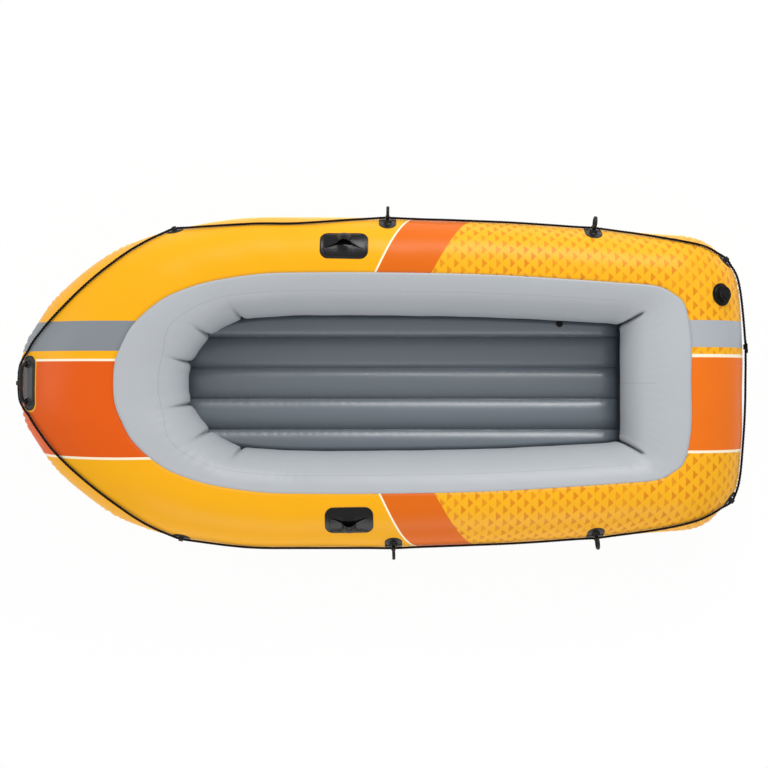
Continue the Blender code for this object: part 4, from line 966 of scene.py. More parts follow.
def make_seam_flange():
    root = LOOP.half_width + seam_pucker(np.zeros(len(LOOP_T)))
    wave = SEAM_WAVE * smooth((BEND - 0.7) / 2.2) * np.sin(PUCKERS * EDGE_LAP + 1.2)
    upper = [(share * SEAM_WIDTH, up) for share, up in SEAM_SECTION]
    lower = [(out, -up) for out, up in upper]
    outline = [(-SEAM_SUNK, -0.5), *lower, *upper[::-1], (-SEAM_SUNK, 0.5)]
    rings = []
    for out, up in outline:
        reach = max(out, 0.0) / SEAM_WIDTH
        plan = LOOP.middle + LOOP.outward * (root + out)[:, None]
        height = LOOP.centre_z + up * SEAM_THICKNESS + wave * reach
        rings.append(np.column_stack((plan, height)))
    return closed_skin("outer_seam", rings)


SEAM_FILM = film_material("seam_film", linear(255, 220, 142), 0.42, 0.05, 0.3)
finish_piece(make_seam_flange(), "outer_seam_flange", "hull", SEAM_FILM)

# %% [markdown]
# ## The air floor
# The floor is an air mattress of five lengthwise channels. Strips inside it hold the upper sheet down
# in four valleys, and the pressure rounds the film between them. The height of the sheet is a rule
# again: round channels, valleys with a flat weld, edges that fall away under the hull, and small
# wrinkles that cross the welds, because the film there is shorter than the channel's crown.

# %% Where the floor meets the tubes
FLOOR_CLEARANCE, FLOOR_SHEET_HEIGHT = 0.002, 0.005
FLOOR_VALLEY_HEIGHT, FLOOR_CROWN_HEIGHT = 0.050, 0.073


def inside_reach(height):
    """Where the tube's inner side is at a height above its base, for the starboard half."""
    half = Tube(HALF_ROWS, 1)
    sink = (half.base + height - half.centre_z) / half.half_height
    return half.middle + half.outward * (-half.half_width * np.cos(np.arcsin(sink)))[:, None]


RIM = inside_reach(FLOOR_SHEET_HEIGHT + FLOOR_VALLEY_HEIGHT)
RIM_X = np.sort(RIM[:, 0])
RIM_Y = RIM[np.argsort(RIM[:, 0]), 1]
FLOOR_FRONT, FLOOR_AFT = RIM_X.min() + FLOOR_CLEARANCE, RIM_X.max() - FLOOR_CLEARANCE
SHEET_X = inside_reach(FLOOR_SHEET_HEIGHT)[:, 0]
SHEET_ORDER = np.argsort(SHEET_X)
SHEET_BASE = Tube(HALF_ROWS, 1).base + FLOOR_SHEET_HEIGHT


def floor_half_width(x):
    return np.interp(x, RIM_X, RIM_Y) - FLOOR_CLEARANCE


def sheet_height(x):
    """Height of the bottom sheet, which rises with the hull at the bow."""
    return np.interp(x, SHEET_X[SHEET_ORDER], SHEET_BASE[SHEET_ORDER])


print("floor from", round(float(FLOOR_FRONT), 3), "to", round(float(FLOOR_AFT), 3), "m")

# %% The height of the floor
CHANNEL_PITCH, ROUND_SHARE = 0.1035, 0.55
WELD_HALF = 0.004
FLOOR_EDGE_ROUND, FLOOR_END_ROUND, FLOOR_RIM_HEIGHT = 0.045, 0.105, 0.0018
WRINKLE_DEPTH, WRINKLE_LENGTH, SMALL_WRINKLE_LENGTH = 0.00028, 0.031, 0.017
WRINKLE_PLACE, WRINKLE_WIDTH = 0.008, 0.009
END_REACH, END_DROP, END_WAVE = 0.05, 0.35, 0.0030


def floor_height(x, y):
    """The floor's upper surface."""
    from_ends = np.minimum(x - FLOOR_FRONT, FLOOR_AFT - x)
    inside = np.minimum(floor_half_width(x) - np.abs(y), from_ends)
    share = np.clip(inside / FLOOR_EDGE_ROUND, 0, 1)
    ends = np.clip((x - FLOOR_FRONT) / FLOOR_END_ROUND, 0, 1)
    ends = ends * np.clip((FLOOR_AFT - x) / FLOOR_END_ROUND, 0, 1)
    rounding = (1 - (1 - share) ** 2) * (1 - (1 - ends) ** 3)
    place = (np.abs(y) / CHANNEL_PITCH + 0.5) % 1.0
    from_valley = np.minimum(place, 1 - place) * CHANNEL_PITCH
    round_dome = np.clip(1 - (2 * place - 1) ** 2, 0, 1)
    dome = ROUND_SHARE * np.sqrt(round_dome) + (1 - ROUND_SHARE) * round_dome
    dome = dome * smooth(from_valley / WELD_HALF) ** 0.5
    valley = np.round(y / CHANNEL_PITCH - 0.5) + 0.5
    long_wave = x * 2 * math.pi / WRINKLE_LENGTH
    cross = np.sin(long_wave + 2.3 * valley + 1.7 * np.sin(x * 19 + valley))
    cross += 0.5 * np.sin(x * 2 * math.pi / SMALL_WRINKLE_LENGTH + 5.1 * valley)
    beside = (from_valley - WRINKLE_PLACE) / WRINKLE_WIDTH
    wrinkle = WRINKLE_DEPTH * cross * np.exp(-(beside ** 2))
    end = np.exp(-np.clip(from_ends, 0, 1) / END_REACH)
    end_wave = END_WAVE * end * np.sin((y / CHANNEL_PITCH) * 2 * math.pi * 1.5 + 9 * x)
    crown = FLOOR_CROWN_HEIGHT - FLOOR_VALLEY_HEIGHT
    channel = FLOOR_VALLEY_HEIGHT + crown * dome * (1 - END_DROP * end) + wrinkle + end_wave
    return sheet_height(x) + FLOOR_RIM_HEIGHT + (channel - FLOOR_RIM_HEIGHT) * rounding


print("crown of the middle channel:", round(float(floor_height(0.0, 0.0)), 4), "m")

# %% Floor sheet
FLOOR_ROWS, FLOOR_COLUMNS, FLOOR_FILM_THICKNESS = 281, 161, 0.0006
FLOOR_COLOUR, FLOOR_WELD_COLOUR = linear(105, 114, 122), linear(82, 90, 98)
FLOOR_WELD_REACH = 0.003


def make_floor_sheet():
    front, aft = FLOOR_FRONT + FLOOR_CLEARANCE, FLOOR_AFT - FLOOR_CLEARANCE
    s = np.linspace(0, 1, FLOOR_ROWS)
    xs = front + (aft - front) * (0.85 * s + 0.15 * (1 - np.cos(math.pi * s)) / 2)
    half = np.maximum(floor_half_width(xs), FLOOR_CLEARANCE)
    x = np.repeat(xs[:, None], FLOOR_COLUMNS, axis=1)
    y = half[:, None] * np.linspace(-1, 1, FLOOR_COLUMNS)[None, :]
    top = np.stack((x, y, floor_height(x, y)), -1).reshape(-1, 3)
    low = top - (0, 0, FLOOR_FILM_THICKNESS)
    faces, edges, count = thick_sheet_faces(*x.shape)
    walls = [[a, b, b + count, a + count] for a, b in edges]
    item = link_mesh("air_floor", np.vstack((top, low)), faces + walls)
    return turn_outwards(agree_normals(item, 1e-7))


def draw_floor(tree):
    """Dark grey film, a little darker along the pressed valleys."""
    y = split(tree, object_place(tree))[1]
    cells = step(tree, "DIVIDE", step(tree, "ABSOLUTE", y), CHANNEL_PITCH)
    place = step(tree, "FRACT", plus(tree, cells, 0.5))
    off = times(tree, step(tree, "MINIMUM", place, minus(tree, 1.0, place)), CHANNEL_PITCH)
    return over(tree, FLOOR_COLOUR, FLOOR_WELD_COLOUR, close_to(tree, off, FLOOR_WELD_REACH))


FLOOR_FILM = film_material("dark_grey_film", draw_floor, 0.31, 0.06, 0.03, shine=0.72)
finish_piece(make_floor_sheet(), "floor_top_sheet", "hull", FLOOR_FILM)
for name in ("bottom_sheet", "floor_web_1", "floor_web_2", "floor_web_3", "floor_web_4"):
    paint(nodes[name], FLOOR_FILM)

# %% [markdown]
# ## Shapes for the mouldings
# The black fittings are injection moulded, so every edge is rounded and every foot lies flat on the
# film it is welded to. Each shape here is a stack of rings: a ring that shrinks to a point closes the
# skin, or the stack closes on itself. A patch asks the finished film where it is, point by point.

# %% Closed skins from stacks of rings
POLE_SIZE = 1e-9
SHARP_ANGLE = math.radians(50)


def shell(rings, values=None, loop=False):
    """A closed skin through rings of points; a ring shrunk to one point becomes a pole."""
    rings = np.asarray(rings, float)
    around = rings.shape[1]
    values = np.ones(rings.shape[:2]) if values is None else np.asarray(values, float)
    points, kept, starts, sizes = [], [], [], []
    for ring, value in zip(rings, values):
        pole = np.ptp(ring, axis=0).max() < POLE_SIZE
        starts.append(len(points))
        sizes.append(1 if pole else around)
        points.extend(ring[:1] if pole else ring)
        kept.extend(value[:1] if pole else value)
    faces = []
    for a in range(len(rings) if loop else len(rings) - 1):
        b = (a + 1) % len(rings)
        for j in range(around):
            k = (j + 1) % around
            here = [starts[a] + i % sizes[a] for i in (j, k)]
            there = [starts[b] + i % sizes[b] for i in (k, j)]
            face = list(dict.fromkeys(here + there))
            if len(face) > 2:
                faces.append(face)
    points = np.array(points)
    thirds = np.array([(f[0], f[i], f[i + 1]) for f in faces for i in range(1, len(f) - 1)])
    corners = points[thirds]
    if np.einsum("ij,ij->", corners[:, 0], np.cross(corners[:, 1], corners[:, 2])) < 0:
        faces = [face[::-1] for face in faces]
    return points, faces, np.array(kept)


def to_world(points, place):
    turn = np.array(place)
    return np.asarray(points, float) @ turn[:3, :3].T + turn[:3, 3]


def placed_shell(rings, place, values=None, loop=False):
    """The closed skin through rings that are given in a fitting's own frame."""
    rings = np.asarray(rings, float)
    return shell(to_world(rings.reshape(-1, 3), place).reshape(rings.shape), values, loop)


def piece(name, *shapes):
    """One object from several closed skins; each point keeps its distance from the rim."""
    points, faces, values, start = [], [], [], 0
    for shape_points, shape_faces, shape_values in shapes:
        points.append(shape_points)
        values.append(shape_values)
        faces += [[i + start for i in face] for face in shape_faces]
        start += len(shape_points)
    item = link_mesh(name, np.vstack(points), faces)
    item.data.set_sharp_from_angle(angle=SHARP_ANGLE)
    store(item, "rim", np.concatenate(values))
    return item


print("edges stay sharp from", round(math.degrees(SHARP_ANGLE)), "degrees")

# %% Outlines and turned shapes
CORNER_SHARE = 0.45
SLAB_BEVEL = 0.0006


def squarish(value, power):
    """A sine or cosine that makes a rounded square of a circle; the smaller, the squarer."""
    return np.sign(value) * np.abs(value) ** power


def evenly(path, count=None, spacing=None, endpoint=True):
    """The path with evenly spread points, and their distances along it."""
    path = np.asarray(path, float)
    way = np.concatenate(([0], np.cumsum(np.linalg.norm(np.diff(path, axis=0), axis=1))))
    if count is None:
        count = max(int(way[-1] / spacing), 2)
    at = np.linspace(0, way[-1], count, endpoint=endpoint)
    return np.column_stack([np.interp(at, way, axis) for axis in path.T]), at


def eased(outline, radius, closed=False, steps=4):
    """The outline with its corners rounded."""
    points = [np.asarray(p, float) for p in outline]
    result = []
    for i, corner in enumerate(points):
        if not closed and i in (0, len(points) - 1):
            result.append(corner)
            continue
        before, after = points[i - 1] - corner, points[(i + 1) % len(points)] - corner
        near, far = np.linalg.norm(before), np.linalg.norm(after)
        first = corner + before / near * min(radius, CORNER_SHARE * near)
        last = corner + after / far * min(radius, CORNER_SHARE * far)
        for share in np.linspace(0, 1, steps + 1):
            rest = 1 - share
            result.append(rest**2 * first + 2 * share * rest * corner + share**2 * last)
    return np.array(result)


def turned(profile, place, steps=56, ribs=0, depth=0.0, loop=False):
    """A profile of (radius, z) turned about z; ribs are grip notches in its widest part."""
    profile = np.asarray(profile, float)
    turn = np.linspace(0, 2 * math.pi, steps, endpoint=False)
    radius = np.repeat(profile[:, :1], steps, axis=1)
    if ribs:
        wide = smooth((profile[:, :1] / profile[:, 0].max() - 0.93) / 0.05)
        radius = radius - wide * depth * (0.5 - 0.5 * np.cos(ribs * turn)) ** 3
    z = np.repeat(profile[:, 1:], steps, axis=1)
    rings = np.stack((radius * np.cos(turn), radius * np.sin(turn), z), -1)
    return placed_shell(rings, place, loop=loop)


def oval(length, width, corner, count=96, centre=(0.0, 0.0)):
    """A rounded rectangle with evenly spread points."""
    corners = []
    for quarter, (sx, sy) in enumerate(((1, 1), (-1, 1), (-1, -1), (1, -1))):
        x, y = sx * (length / 2 - corner), sy * (width / 2 - corner)
        for a in np.linspace(0, math.pi / 2, 12):
            a += quarter * math.pi / 2
            corners.append((x + corner * math.cos(a), y + corner * math.sin(a)))
    return evenly(corners + corners[:1], count, endpoint=False)[0] + centre


def slab(outline, low, high, place):
    """A flat shape with rounded edges."""
    middle = outline.mean(axis=0)
    tip = middle + 0 * outline
    inset = SLAB_BEVEL / np.linalg.norm(outline - middle, axis=1).mean()
    inner = middle + (outline - middle) * (1 - inset)
    stack = (
        (tip, low), (inner, low), (outline, low + SLAB_BEVEL),
        (outline, high - SLAB_BEVEL), (inner, high), (tip, high),
    )
    rings = [np.column_stack((ring, np.full(len(ring), z))) for ring, z in stack]
    return placed_shell(rings, place)


print("a square with eased corners has", len(eased(oval(2, 2, 0.5, 4), 0.1, True)), "points")

# %% Patches on the film
PATCH_THICKNESS, PATCH_ROUND, PATCH_SUNK = 0.0021, 0.0014, 0.0008
PRESSED_DEPTH, PRESSED_PLACE, PRESSED_WIDTH = 0.0005, 0.0055, 0.0011
# The last rings before the rim, in steps of the rounding, and how many rings the underside skips.
RIM_STEPS = np.array((6, 5, 4, 3, 2, 1.3, 0.7, 0.25, 0.0))
UNDER_SKIP = 6
PROBE_HEIGHT, PROBE_REACH = 0.06, 0.2


def film_height(place, x, y):
    """Height of the film over the fitting's own flat plane, at each x and y."""
    down = -place.col[2].to_3d()
    heights = []
    for px, py in zip(np.ravel(x), np.ravel(y)):
        start = place @ Vector((px, py, PROBE_HEIGHT))
        hit = HULL_SKIN.ray_cast(start, down, PROBE_REACH)[3]
        heights.append(PROBE_HEIGHT - hit if hit is not None else heights[-1])
    return np.reshape(heights, np.shape(x))


def patch(outline, place, relief=None, rows=16, inner_share=0.0):
    """A moulded sheet on the film: thin at its welded rim, with a pressed line just inside it."""
    middle = outline.mean(axis=0)
    radius = np.linalg.norm(outline - middle, axis=1).min()
    edge = PATCH_ROUND / radius
    field = np.linspace(inner_share, 1 - (RIM_STEPS[0] + 1) * edge, rows)
    rings, values = [], []
    for share in np.concatenate((field, 1 - edge * RIM_STEPS)):
        ring = middle + (outline - middle) * share
        away = (1 - share) * radius
        round_off = math.sqrt(1 - (1 - min(away / PATCH_ROUND, 1.0)) ** 2)
        line = PRESSED_DEPTH * math.exp(-(((away - PRESSED_PLACE) / PRESSED_WIDTH) ** 2))
        height = PATCH_THICKNESS * round_off - line
        height = height + (relief(ring[:, 0], ring[:, 1]) if relief else 0.0)
        film = film_height(place, ring[:, 0], ring[:, 1])
        rings.append(np.column_stack((ring, film + height)))
        values.append(np.full(len(ring), away))
    under = rings[::-UNDER_SKIP]
    if inner_share:
        under.append(rings[0])
    for ring in under:
        low = ring.copy()
        low[:, 2] = film_height(place, low[:, 0], low[:, 1]) - PATCH_SUNK
        rings.append(low)
        values.append(np.zeros(len(low)))
    if not inner_share:
        low = rings[0].copy()
        low[:, 2] -= PATCH_THICKNESS + PATCH_SUNK
        rings.append(low)
        values.append(np.zeros(len(low)))
    return placed_shell(rings, place, values, loop=inner_share > 0.0)


print("a patch stands", PATCH_THICKNESS * 1000, "mm over the film")

# %% The bridge for the line
ROPE_HEIGHT, ROPE_BORE, LUG_WALL, LUG_HALF = 0.0073, 0.0051, 0.0027, 0.007
LUG_PROFILE = ((-1.0, 0.0), (-1.0, 1.0), (1.0, 1.0), (1.0, 0.0))
FOOT_DEPTH, FOOT_FLARE = 1.45, 0.25


def lug(place):
    """The bridge that the line runs through, with its bore, rounded mouths and a wider foot."""
    turn = np.linspace(0, 2 * math.pi, 32, endpoint=False)
    rings = []
    for along, out in eased(LUG_PROFILE, 0.35, closed=True, steps=5):
        radius = ROPE_BORE + LUG_WALL * out
        across, up = np.cos(turn), np.sin(turn)
        foot = (up < 0) & (out > 0.5)
        across = np.where(foot, squarish(across, 0.4), across)
        up = np.where(foot, FOOT_DEPTH * squarish(up, 0.5), up)
        flare = np.where(foot, 1 + FOOT_FLARE * up**2, 1.0)
        x, y = along * LUG_HALF * flare, radius * across * flare
        rings.append(np.column_stack((x, y, ROPE_HEIGHT + radius * up)))
    return placed_shell(rings, place, loop=True)


print("bore for the line:", ROPE_BORE * 2000, "mm")

# %% [markdown]
# ### Moulded rubber
# Black fittings of soft vinyl come out of a spark-eroded mould: an even fine texture, satin gloss
# that varies in small patches, and a bloom of dust that makes the faces that look up greyer.

# %% Node group: moulded rubber
RUBBER_BUMP = 0.00012
PLAIN_BLACK = (0.03, 0.03, 0.03)
DUST_COLOUR = linear(128, 126, 120)


def make_moulded_group():
    inputs = {"Colour": None, "Gloss": 0.42, "Dust": 0.25}
    group, start, end = new_finish_group("moulded_rubber", inputs, ("Colour", "Roughness", "Height"))
    place = object_place(group)
    blotch = noise(group, place, 60.0, 5.0, 0.6)
    grain = noise(group, place, 1400.0, 2.0, 0.6)
    scratch = noise(group, place, 260.0, 4.0, 0.75)
    normal = group.nodes.new("ShaderNodeNewGeometry").outputs["Normal"]
    upward = step(group, "MAXIMUM", split(group, normal)[2], 0.0)
    bloom = times(group, times(group, upward, blotch), start.outputs["Dust"], clamp=True)
    dusty = over(group, start.outputs["Colour"], DUST_COLOUR, bloom)
    group.links.new(dusty, end.inputs["Colour"])
    rough = plus(group, start.outputs["Gloss"], times(group, bloom, 0.6))
    rough = plus(group, rough, uneven(group, scratch, 0.2))
    group.links.new(rough, end.inputs["Roughness"])
    group.links.new(plus(group, grain, times(group, blotch, 0.8)), end.inputs["Height"])
    return group


MOULDED = make_moulded_group()


def moulded_material(name, colour, gloss, dust, bump=RUBBER_BUMP, shine=0.22):
    values = {"Gloss": gloss, "Dust": dust}
    return finish_material(name, MOULDED, colour, values, bump, shine, PLAIN_BLACK)


print("rubber group made, with", len(MOULDED.nodes), "nodes")

# %% Rubbers
HANDLE_BORDER, HANDLE_FACE = linear(26, 26, 27), linear(84, 85, 87)
HANDLE_BORDER_WIDTH, HANDLE_BORDER_EASE = 0.0085, 0.006


def draw_handle(tree):
    """A lighter grey face inside a darker border."""
    inside = minus(tree, stored(tree, "rim"), HANDLE_BORDER_WIDTH)
    face = step(tree, "DIVIDE", inside, HANDLE_BORDER_EASE, clamp=True)
    return over(tree, HANDLE_BORDER, HANDLE_FACE, face)


RUBBER = moulded_material("black_rubber", linear(18, 18, 19), 0.30, 0.04, shine=0.30)
SOFT_RUBBER = moulded_material("soft_grip_rubber", linear(16, 16, 17), 0.42, 0.05)
CAP_RUBBER = moulded_material("valve_cap_rubber", linear(12, 12, 13), 0.34, 0.05, shine=0.12)
DEEP_RUBBER = moulded_material("oar_holder_rubber", linear(10, 10, 11), 0.24, 0.02, shine=0.30)
HANDLE_RUBBER = moulded_material("handle_patch_rubber", draw_handle, 0.38, 0.12)
print("rubbers made; users of the group:", MOULDED.users)

# %% [markdown]
# ## Rope holders and oar locks
# A rope holder is a round patch with a bridge on it. An oar lock is a longer patch with a bridge and
# a boss; a ring on a stem clicks into the boss and turns there. Both stand at the places that the
# tube's rule gives for their distance along the hull.

# %% Rope holders
ROPE_ANGLE, ROPE_BOW_ANGLE = math.radians(20), math.radians(8)
HOLDER_RADIUS, BOW_CENTRE_RADIUS = 0.029, 0.019
ROUND_CORNER_SHARE = 0.999
SIDES = {"starboard": 1, "port": -1}
# Places along the hull, as shares of its length.
ROPE_HOLDERS = {
    "bow": {"starboard": 0.2125, "port": 0.2215},
    "stern": {"starboard": 0.9707, "port": 0.9780},
}
rope_stops = []


def rope_angle(t):
    return ROPE_BOW_ANGLE + (ROPE_ANGLE - ROPE_BOW_ANGLE) * float(smooth(t / 2))


def row_along(side, angle, share):
    return row_at(side, angle, 0, BOW_TIP_X + share * HULL_LENGTH)


def make_rope_holder(node, t, side, radius):
    place = hull_frame(t, side, rope_angle(t))
    outline = oval(2 * radius, 2 * radius, radius * ROUND_CORNER_SHARE, 72)
    item = piece(node + "_moulding", patch(outline, place), lug(place))
    finish_piece(item, node, "hull", RUBBER)
    rope_stops.append((t, side, place))


make_rope_holder("rope_holder_bow_centre", 0.0, 1, BOW_CENTRE_RADIUS)
for label, side in SIDES.items():
    for end, shares in ROPE_HOLDERS.items():
        t = row_along(side, ROPE_ANGLE, shares[label])
        make_rope_holder(f"rope_holder_{end}_{label}", t, side, HOLDER_RADIUS)

# %% Oar locks
OAR_LOCK_ANGLE = math.radians(31)
OAR_LOCKS = {  # shares of the hull's length
    "front_starboard": 0.5047,
    "rear_starboard": 0.7870,
    "front_port": 0.5128,
    "rear_port": 0.7904,
}
OAR_PATCH = {"length": 0.056, "width": 0.098, "corner": 0.0279, "centre": (0, -0.012)}
BOSS_TOP, RING_LIFT = 0.012, 0.001
RING_RADIUS, RING_HALF_WALL, RING_HALF_WIDTH, RING_SQUARENESS = 0.0175, 0.0035, 0.005, 0.75
BUTTON_TOP = BOSS_TOP + RING_LIFT + 2 * RING_HALF_WALL - 0.0006
# Profiles of (radius, height) about the boss's axis.
BUTTON = (
    (0, 0.0040), (0.0083, 0.0040), (0.0083, 0.0068), (0.0053, 0.0068),
    (0.0053, 0.0138), (0.0070, BUTTON_TOP), (0, BUTTON_TOP),
)
BOSS = (
    (0.0090, BOSS_TOP), (0.0113, BOSS_TOP), (0.0126, 0.0100), (0.0130, 0.0035),
    (0.0165, 0.0005), (0.0165, -0.0060), (0.0090, -0.0060),
)
SOCKET = ((0.0059, BOSS_TOP), (0.0090, BOSS_TOP), (0.0090, 0.0072), (0.0059, 0.0072))
SOCKET_FLOOR = ((0, 0.0035), (0.0092, 0.0035), (0.0092, 0.0), (0, 0.0))


def make_oar_ring(place):
    """The ring with its stem and button; its bore runs across the boss."""
    middle = BOSS_TOP + RING_LIFT + RING_RADIUS + RING_HALF_WALL
    section = np.linspace(0, 2 * math.pi, 20, endpoint=False)
    r = RING_RADIUS + RING_HALF_WALL * squarish(np.cos(section), RING_SQUARENESS)
    x = RING_HALF_WIDTH * squarish(np.sin(section), RING_SQUARENESS)
    turn = np.linspace(0, 2 * math.pi, 64, endpoint=False)
    rings = [np.column_stack((x, r * math.sin(a), middle - r * math.cos(a))) for a in turn]
    return placed_shell(rings, place, loop=True), turned(eased(BUTTON, 0.0009), place, 36)


def make_oar_lock(label, share):
    side = SIDES[label.split("_")[1]]
    t = row_along(side, OAR_LOCK_ANGLE, share)
    place = hull_frame(t, side, OAR_LOCK_ANGLE)
    rope_place = hull_frame(t, side, rope_angle(t))
    item = piece(
        f"oar_lock_base_{label}_moulding",
        patch(oval(**OAR_PATCH), place),
        lug(rope_place),
        turned(eased(BOSS, 0.0012, True), place, loop=True),
        turned(eased(SOCKET, 0.0005, True), place, loop=True),
        turned(SOCKET_FLOOR, place),
    )
    finish_piece(item, f"oar_lock_base_{label}", "hull", RUBBER)
    ring = piece(f"oar_ring_{label}_moulding", *make_oar_ring(place))
    body = f"oar_ring_{label}"
    finish_piece(ring, f"oar_lock_ring_{label}", body, SOFT_RUBBER)
    rope_stops.append((t, side, rope_place))


for label, share in OAR_LOCKS.items():
    make_oar_lock(label, share)
print("stops for the line:", len(rope_stops))

# %% [markdown]
# ## Oar holders
# When nobody rows, the shafts lie under two moulded hoods on the hull's shoulders. A hood is an arch
# that runs out into two low flanks; its mouth faces the cockpit and has a thicker lip. It is made as
# a field of heights over the patch, once for its outside and once, lower by the wall, for its inside.

# %% Oar holders
OAR_HOLDERS = {"starboard": 0.4459, "port": 0.4528}
OAR_HOLDER_ANGLE = math.radians(70)
HOLDER_PATCH = {"length": 0.152, "width": 0.090, "corner": 0.026, "count": 144}
HOOD_HALF, ARCH_HALF, ARCH_HEIGHT, FLANK_HEIGHT = 0.062, 0.022, 0.024, 0.010
HOOD_BACK, ARCH_MOUTH, FLANK_MOUTH, HOOD_WALL = -0.040, -0.008, 0.011, 0.0024
HOOD_COLUMNS, HOOD_ROWS, HOOD_CROWDING = 81, 33, 0.35
HOOD_LIFT, HOOD_SUNK = 0.0006, 0.0012
LIP_HEIGHT, LIP_REACH, LIP_INSIDE_SHARE = 0.0009, 0.0028, 0.3


def hood_height(x):
    """The arch blended into its two flanks."""
    away = np.abs(x)
    arch = ARCH_HEIGHT * np.sqrt(np.clip(1 - (away / ARCH_HALF) ** 2, 0, 1))
    flank = FLANK_HEIGHT * np.clip(1 - away / HOOD_HALF, 0, 1) ** 0.8
    return (arch**5 + flank**5) ** 0.2


def hood_surface(place, wall):
    """The hood's outer surface, or with a wall its inner one, as a grid from mouth to back."""
    even = np.linspace(-1, 1, HOOD_COLUMNS)
    u = np.sin(even * math.pi / 2) * HOOD_CROWDING + even * (1 - HOOD_CROWDING)
    x = np.repeat((u * (HOOD_HALF - wall))[None, :], HOOD_ROWS, axis=0)
    mouth = ARCH_MOUTH + (FLANK_MOUTH - ARCH_MOUTH) * smooth(np.abs(x) / HOOD_HALF)
    back = HOOD_BACK + wall
    share = (1 - np.cos(np.linspace(0, math.pi, HOOD_ROWS)))[:, None] / 2
    y = mouth + (back - mouth) * share
    fall = np.sqrt(np.clip(1 - (share * 0.9) ** 2, 0, 1)) * np.sqrt(smooth((1 - share) / 0.10))
    lip = LIP_HEIGHT * np.exp(-(((mouth - y) / LIP_REACH) ** 2)) * smooth(hood_height(x) / 0.008)
    height = np.maximum(hood_height(x) * fall - wall, 0.0)
    height += -lip * LIP_INSIDE_SHARE - HOOD_SUNK if wall else lip + HOOD_LIFT
    z = film_height(place, x, y) + PATCH_THICKNESS + height
    return np.stack((x, y, z), -1)


def saddle(x, y):
    """The low dome that the shaft rests on, under the arch."""
    return 0.0045 * np.exp(-((x / 0.013) ** 2 + ((y - 0.002) / 0.014) ** 2))


def make_oar_holder(label, share):
    side = SIDES[label]
    row = row_along(side, OAR_HOLDER_ANGLE, share)
    place = hull_frame(row, side, OAR_HOLDER_ANGLE)
    base = patch(oval(**HOLDER_PATCH), place, relief=saddle, rows=26)
    surfaces = np.stack([hood_surface(place, wall) for wall in (0.0, HOOD_WALL)])
    points = to_world(surfaces.reshape(-1, 3), place)
    faces, edges, count = thick_sheet_faces(HOOD_ROWS, HOOD_COLUMNS)
    walls = [[b, a, a + count, b + count] for a, b in edges]
    hood = (points, faces + walls, np.ones(len(points)))
    item = agree_normals(piece(f"oar_holder_{label}_moulding", base, hood))
    finish_piece(item, f"oar_holder_{label}", "hull", DEEP_RUBBER)


for label, share in OAR_HOLDERS.items():
    make_oar_holder(label, share)

# %% [markdown]
# ## Bow handle
# The boat is carried and dragged by a rubber bar over the bow. Its patch is wide, because the weld
# takes all the pull, and the bar swells a little between its two posts to fill a hand.

# %% Bow handle
HANDLE_ANGLE = math.radians(36.5)
POST_X, POST_TOP, BAR_GAP = 0.058, 0.003, 0.0003
BAR_STANDOFF, BAR_RADIUS, BAR_TAPER, BAR_FLATNESS = 0.025, 0.0065, 0.10, 0.92
BAR_STEPS = 141
RIDGE_DEPTH, RIDGE_PITCH, RIDGED_SHARE = 0.00035, 0.0052, 0.55


def handle_post(place, sign):
    """A post with a spreading foot, from the patch up to the bar's end."""
    foot = float(film_height(place, np.array([sign * POST_X]), np.array([0.0]))[0])
    profile = (
        (0, foot - 0.001), (0.0135, foot + 0.0015), (0.0115, foot + 0.0045), (0.0095, foot + 0.009),
        (0.0092, POST_TOP - 0.001), (0.0085, POST_TOP), (0, POST_TOP),
    )
    return turned(eased(profile, 0.0012), place @ Matrix.Translation((sign * POST_X, 0, 0)), 40)


def bar_path():
    """The bar's middle line from post to post, and the distances along it."""
    low = POST_TOP + BAR_GAP
    a = np.linspace(0, math.pi, 73)
    x = -POST_X * squarish(np.cos(a), 0.5)
    z = low + BAR_RADIUS / 2 + (BAR_STANDOFF - POST_TOP - BAR_RADIUS / 2) * np.abs(np.sin(a)) ** 0.5
    arch = np.column_stack((x, np.zeros(len(x)), z))
    path, at = evenly(np.vstack(([(-POST_X, 0, low)], arch, [(POST_X, 0, low)])), BAR_STEPS)
    for _ in range(3):
        path[1:-1] = (path[:-2] + 2 * path[1:-1] + path[2:]) / 4
    return path, at


def handle_bar(place):
    """The bar, fullest and finely ridged in its middle."""
    path, at = bar_path()
    course = np.gradient(path, axis=0)
    course /= np.linalg.norm(course, axis=1)[:, None]
    across = np.array((0.0, 1.0, 0.0))
    turn = np.linspace(0, 2 * math.pi, 28, endpoint=False)[:, None]
    rings = [np.repeat(path[:1], len(turn), axis=0)]
    for i, (middle, lift) in enumerate(zip(path, np.cross(course, across))):
        share = abs(2 * i / (len(path) - 1) - 1)
        radius = BAR_RADIUS * (1.0 - BAR_TAPER * smooth((share - 0.5) / 0.4))
        if share < RIDGED_SHARE:
            radius += RIDGE_DEPTH * math.sin(2 * math.pi * at[i] / RIDGE_PITCH)
        around = np.cos(turn) * across + BAR_FLATNESS * np.sin(turn) * lift
        rings.append(middle + radius * around)
    rings.append(np.repeat(path[-1:], len(turn), axis=0))
    return placed_shell(rings, place)


def make_bow_handle():
    place = hull_frame(0.0, 1, HANDLE_ANGLE)
    base = patch(oval(HANDLE_LENGTH, HANDLE_WIDTH, HANDLE_CORNER, 144), place, rows=24)
    item = piece("bow_handle_patch_moulding", base)
    finish_piece(item, "bow_handle_patch", "hull", HANDLE_RUBBER)
    item = piece("bow_handle_posts", *(handle_post(place, sign) for sign in (-1, 1)))
    finish_piece(item, None, "hull", RUBBER)
    item = piece("bow_handle_bar", handle_bar(place))
    finish_piece(item, "bow_handle_grip", "hull", SOFT_RUBBER)


make_bow_handle()

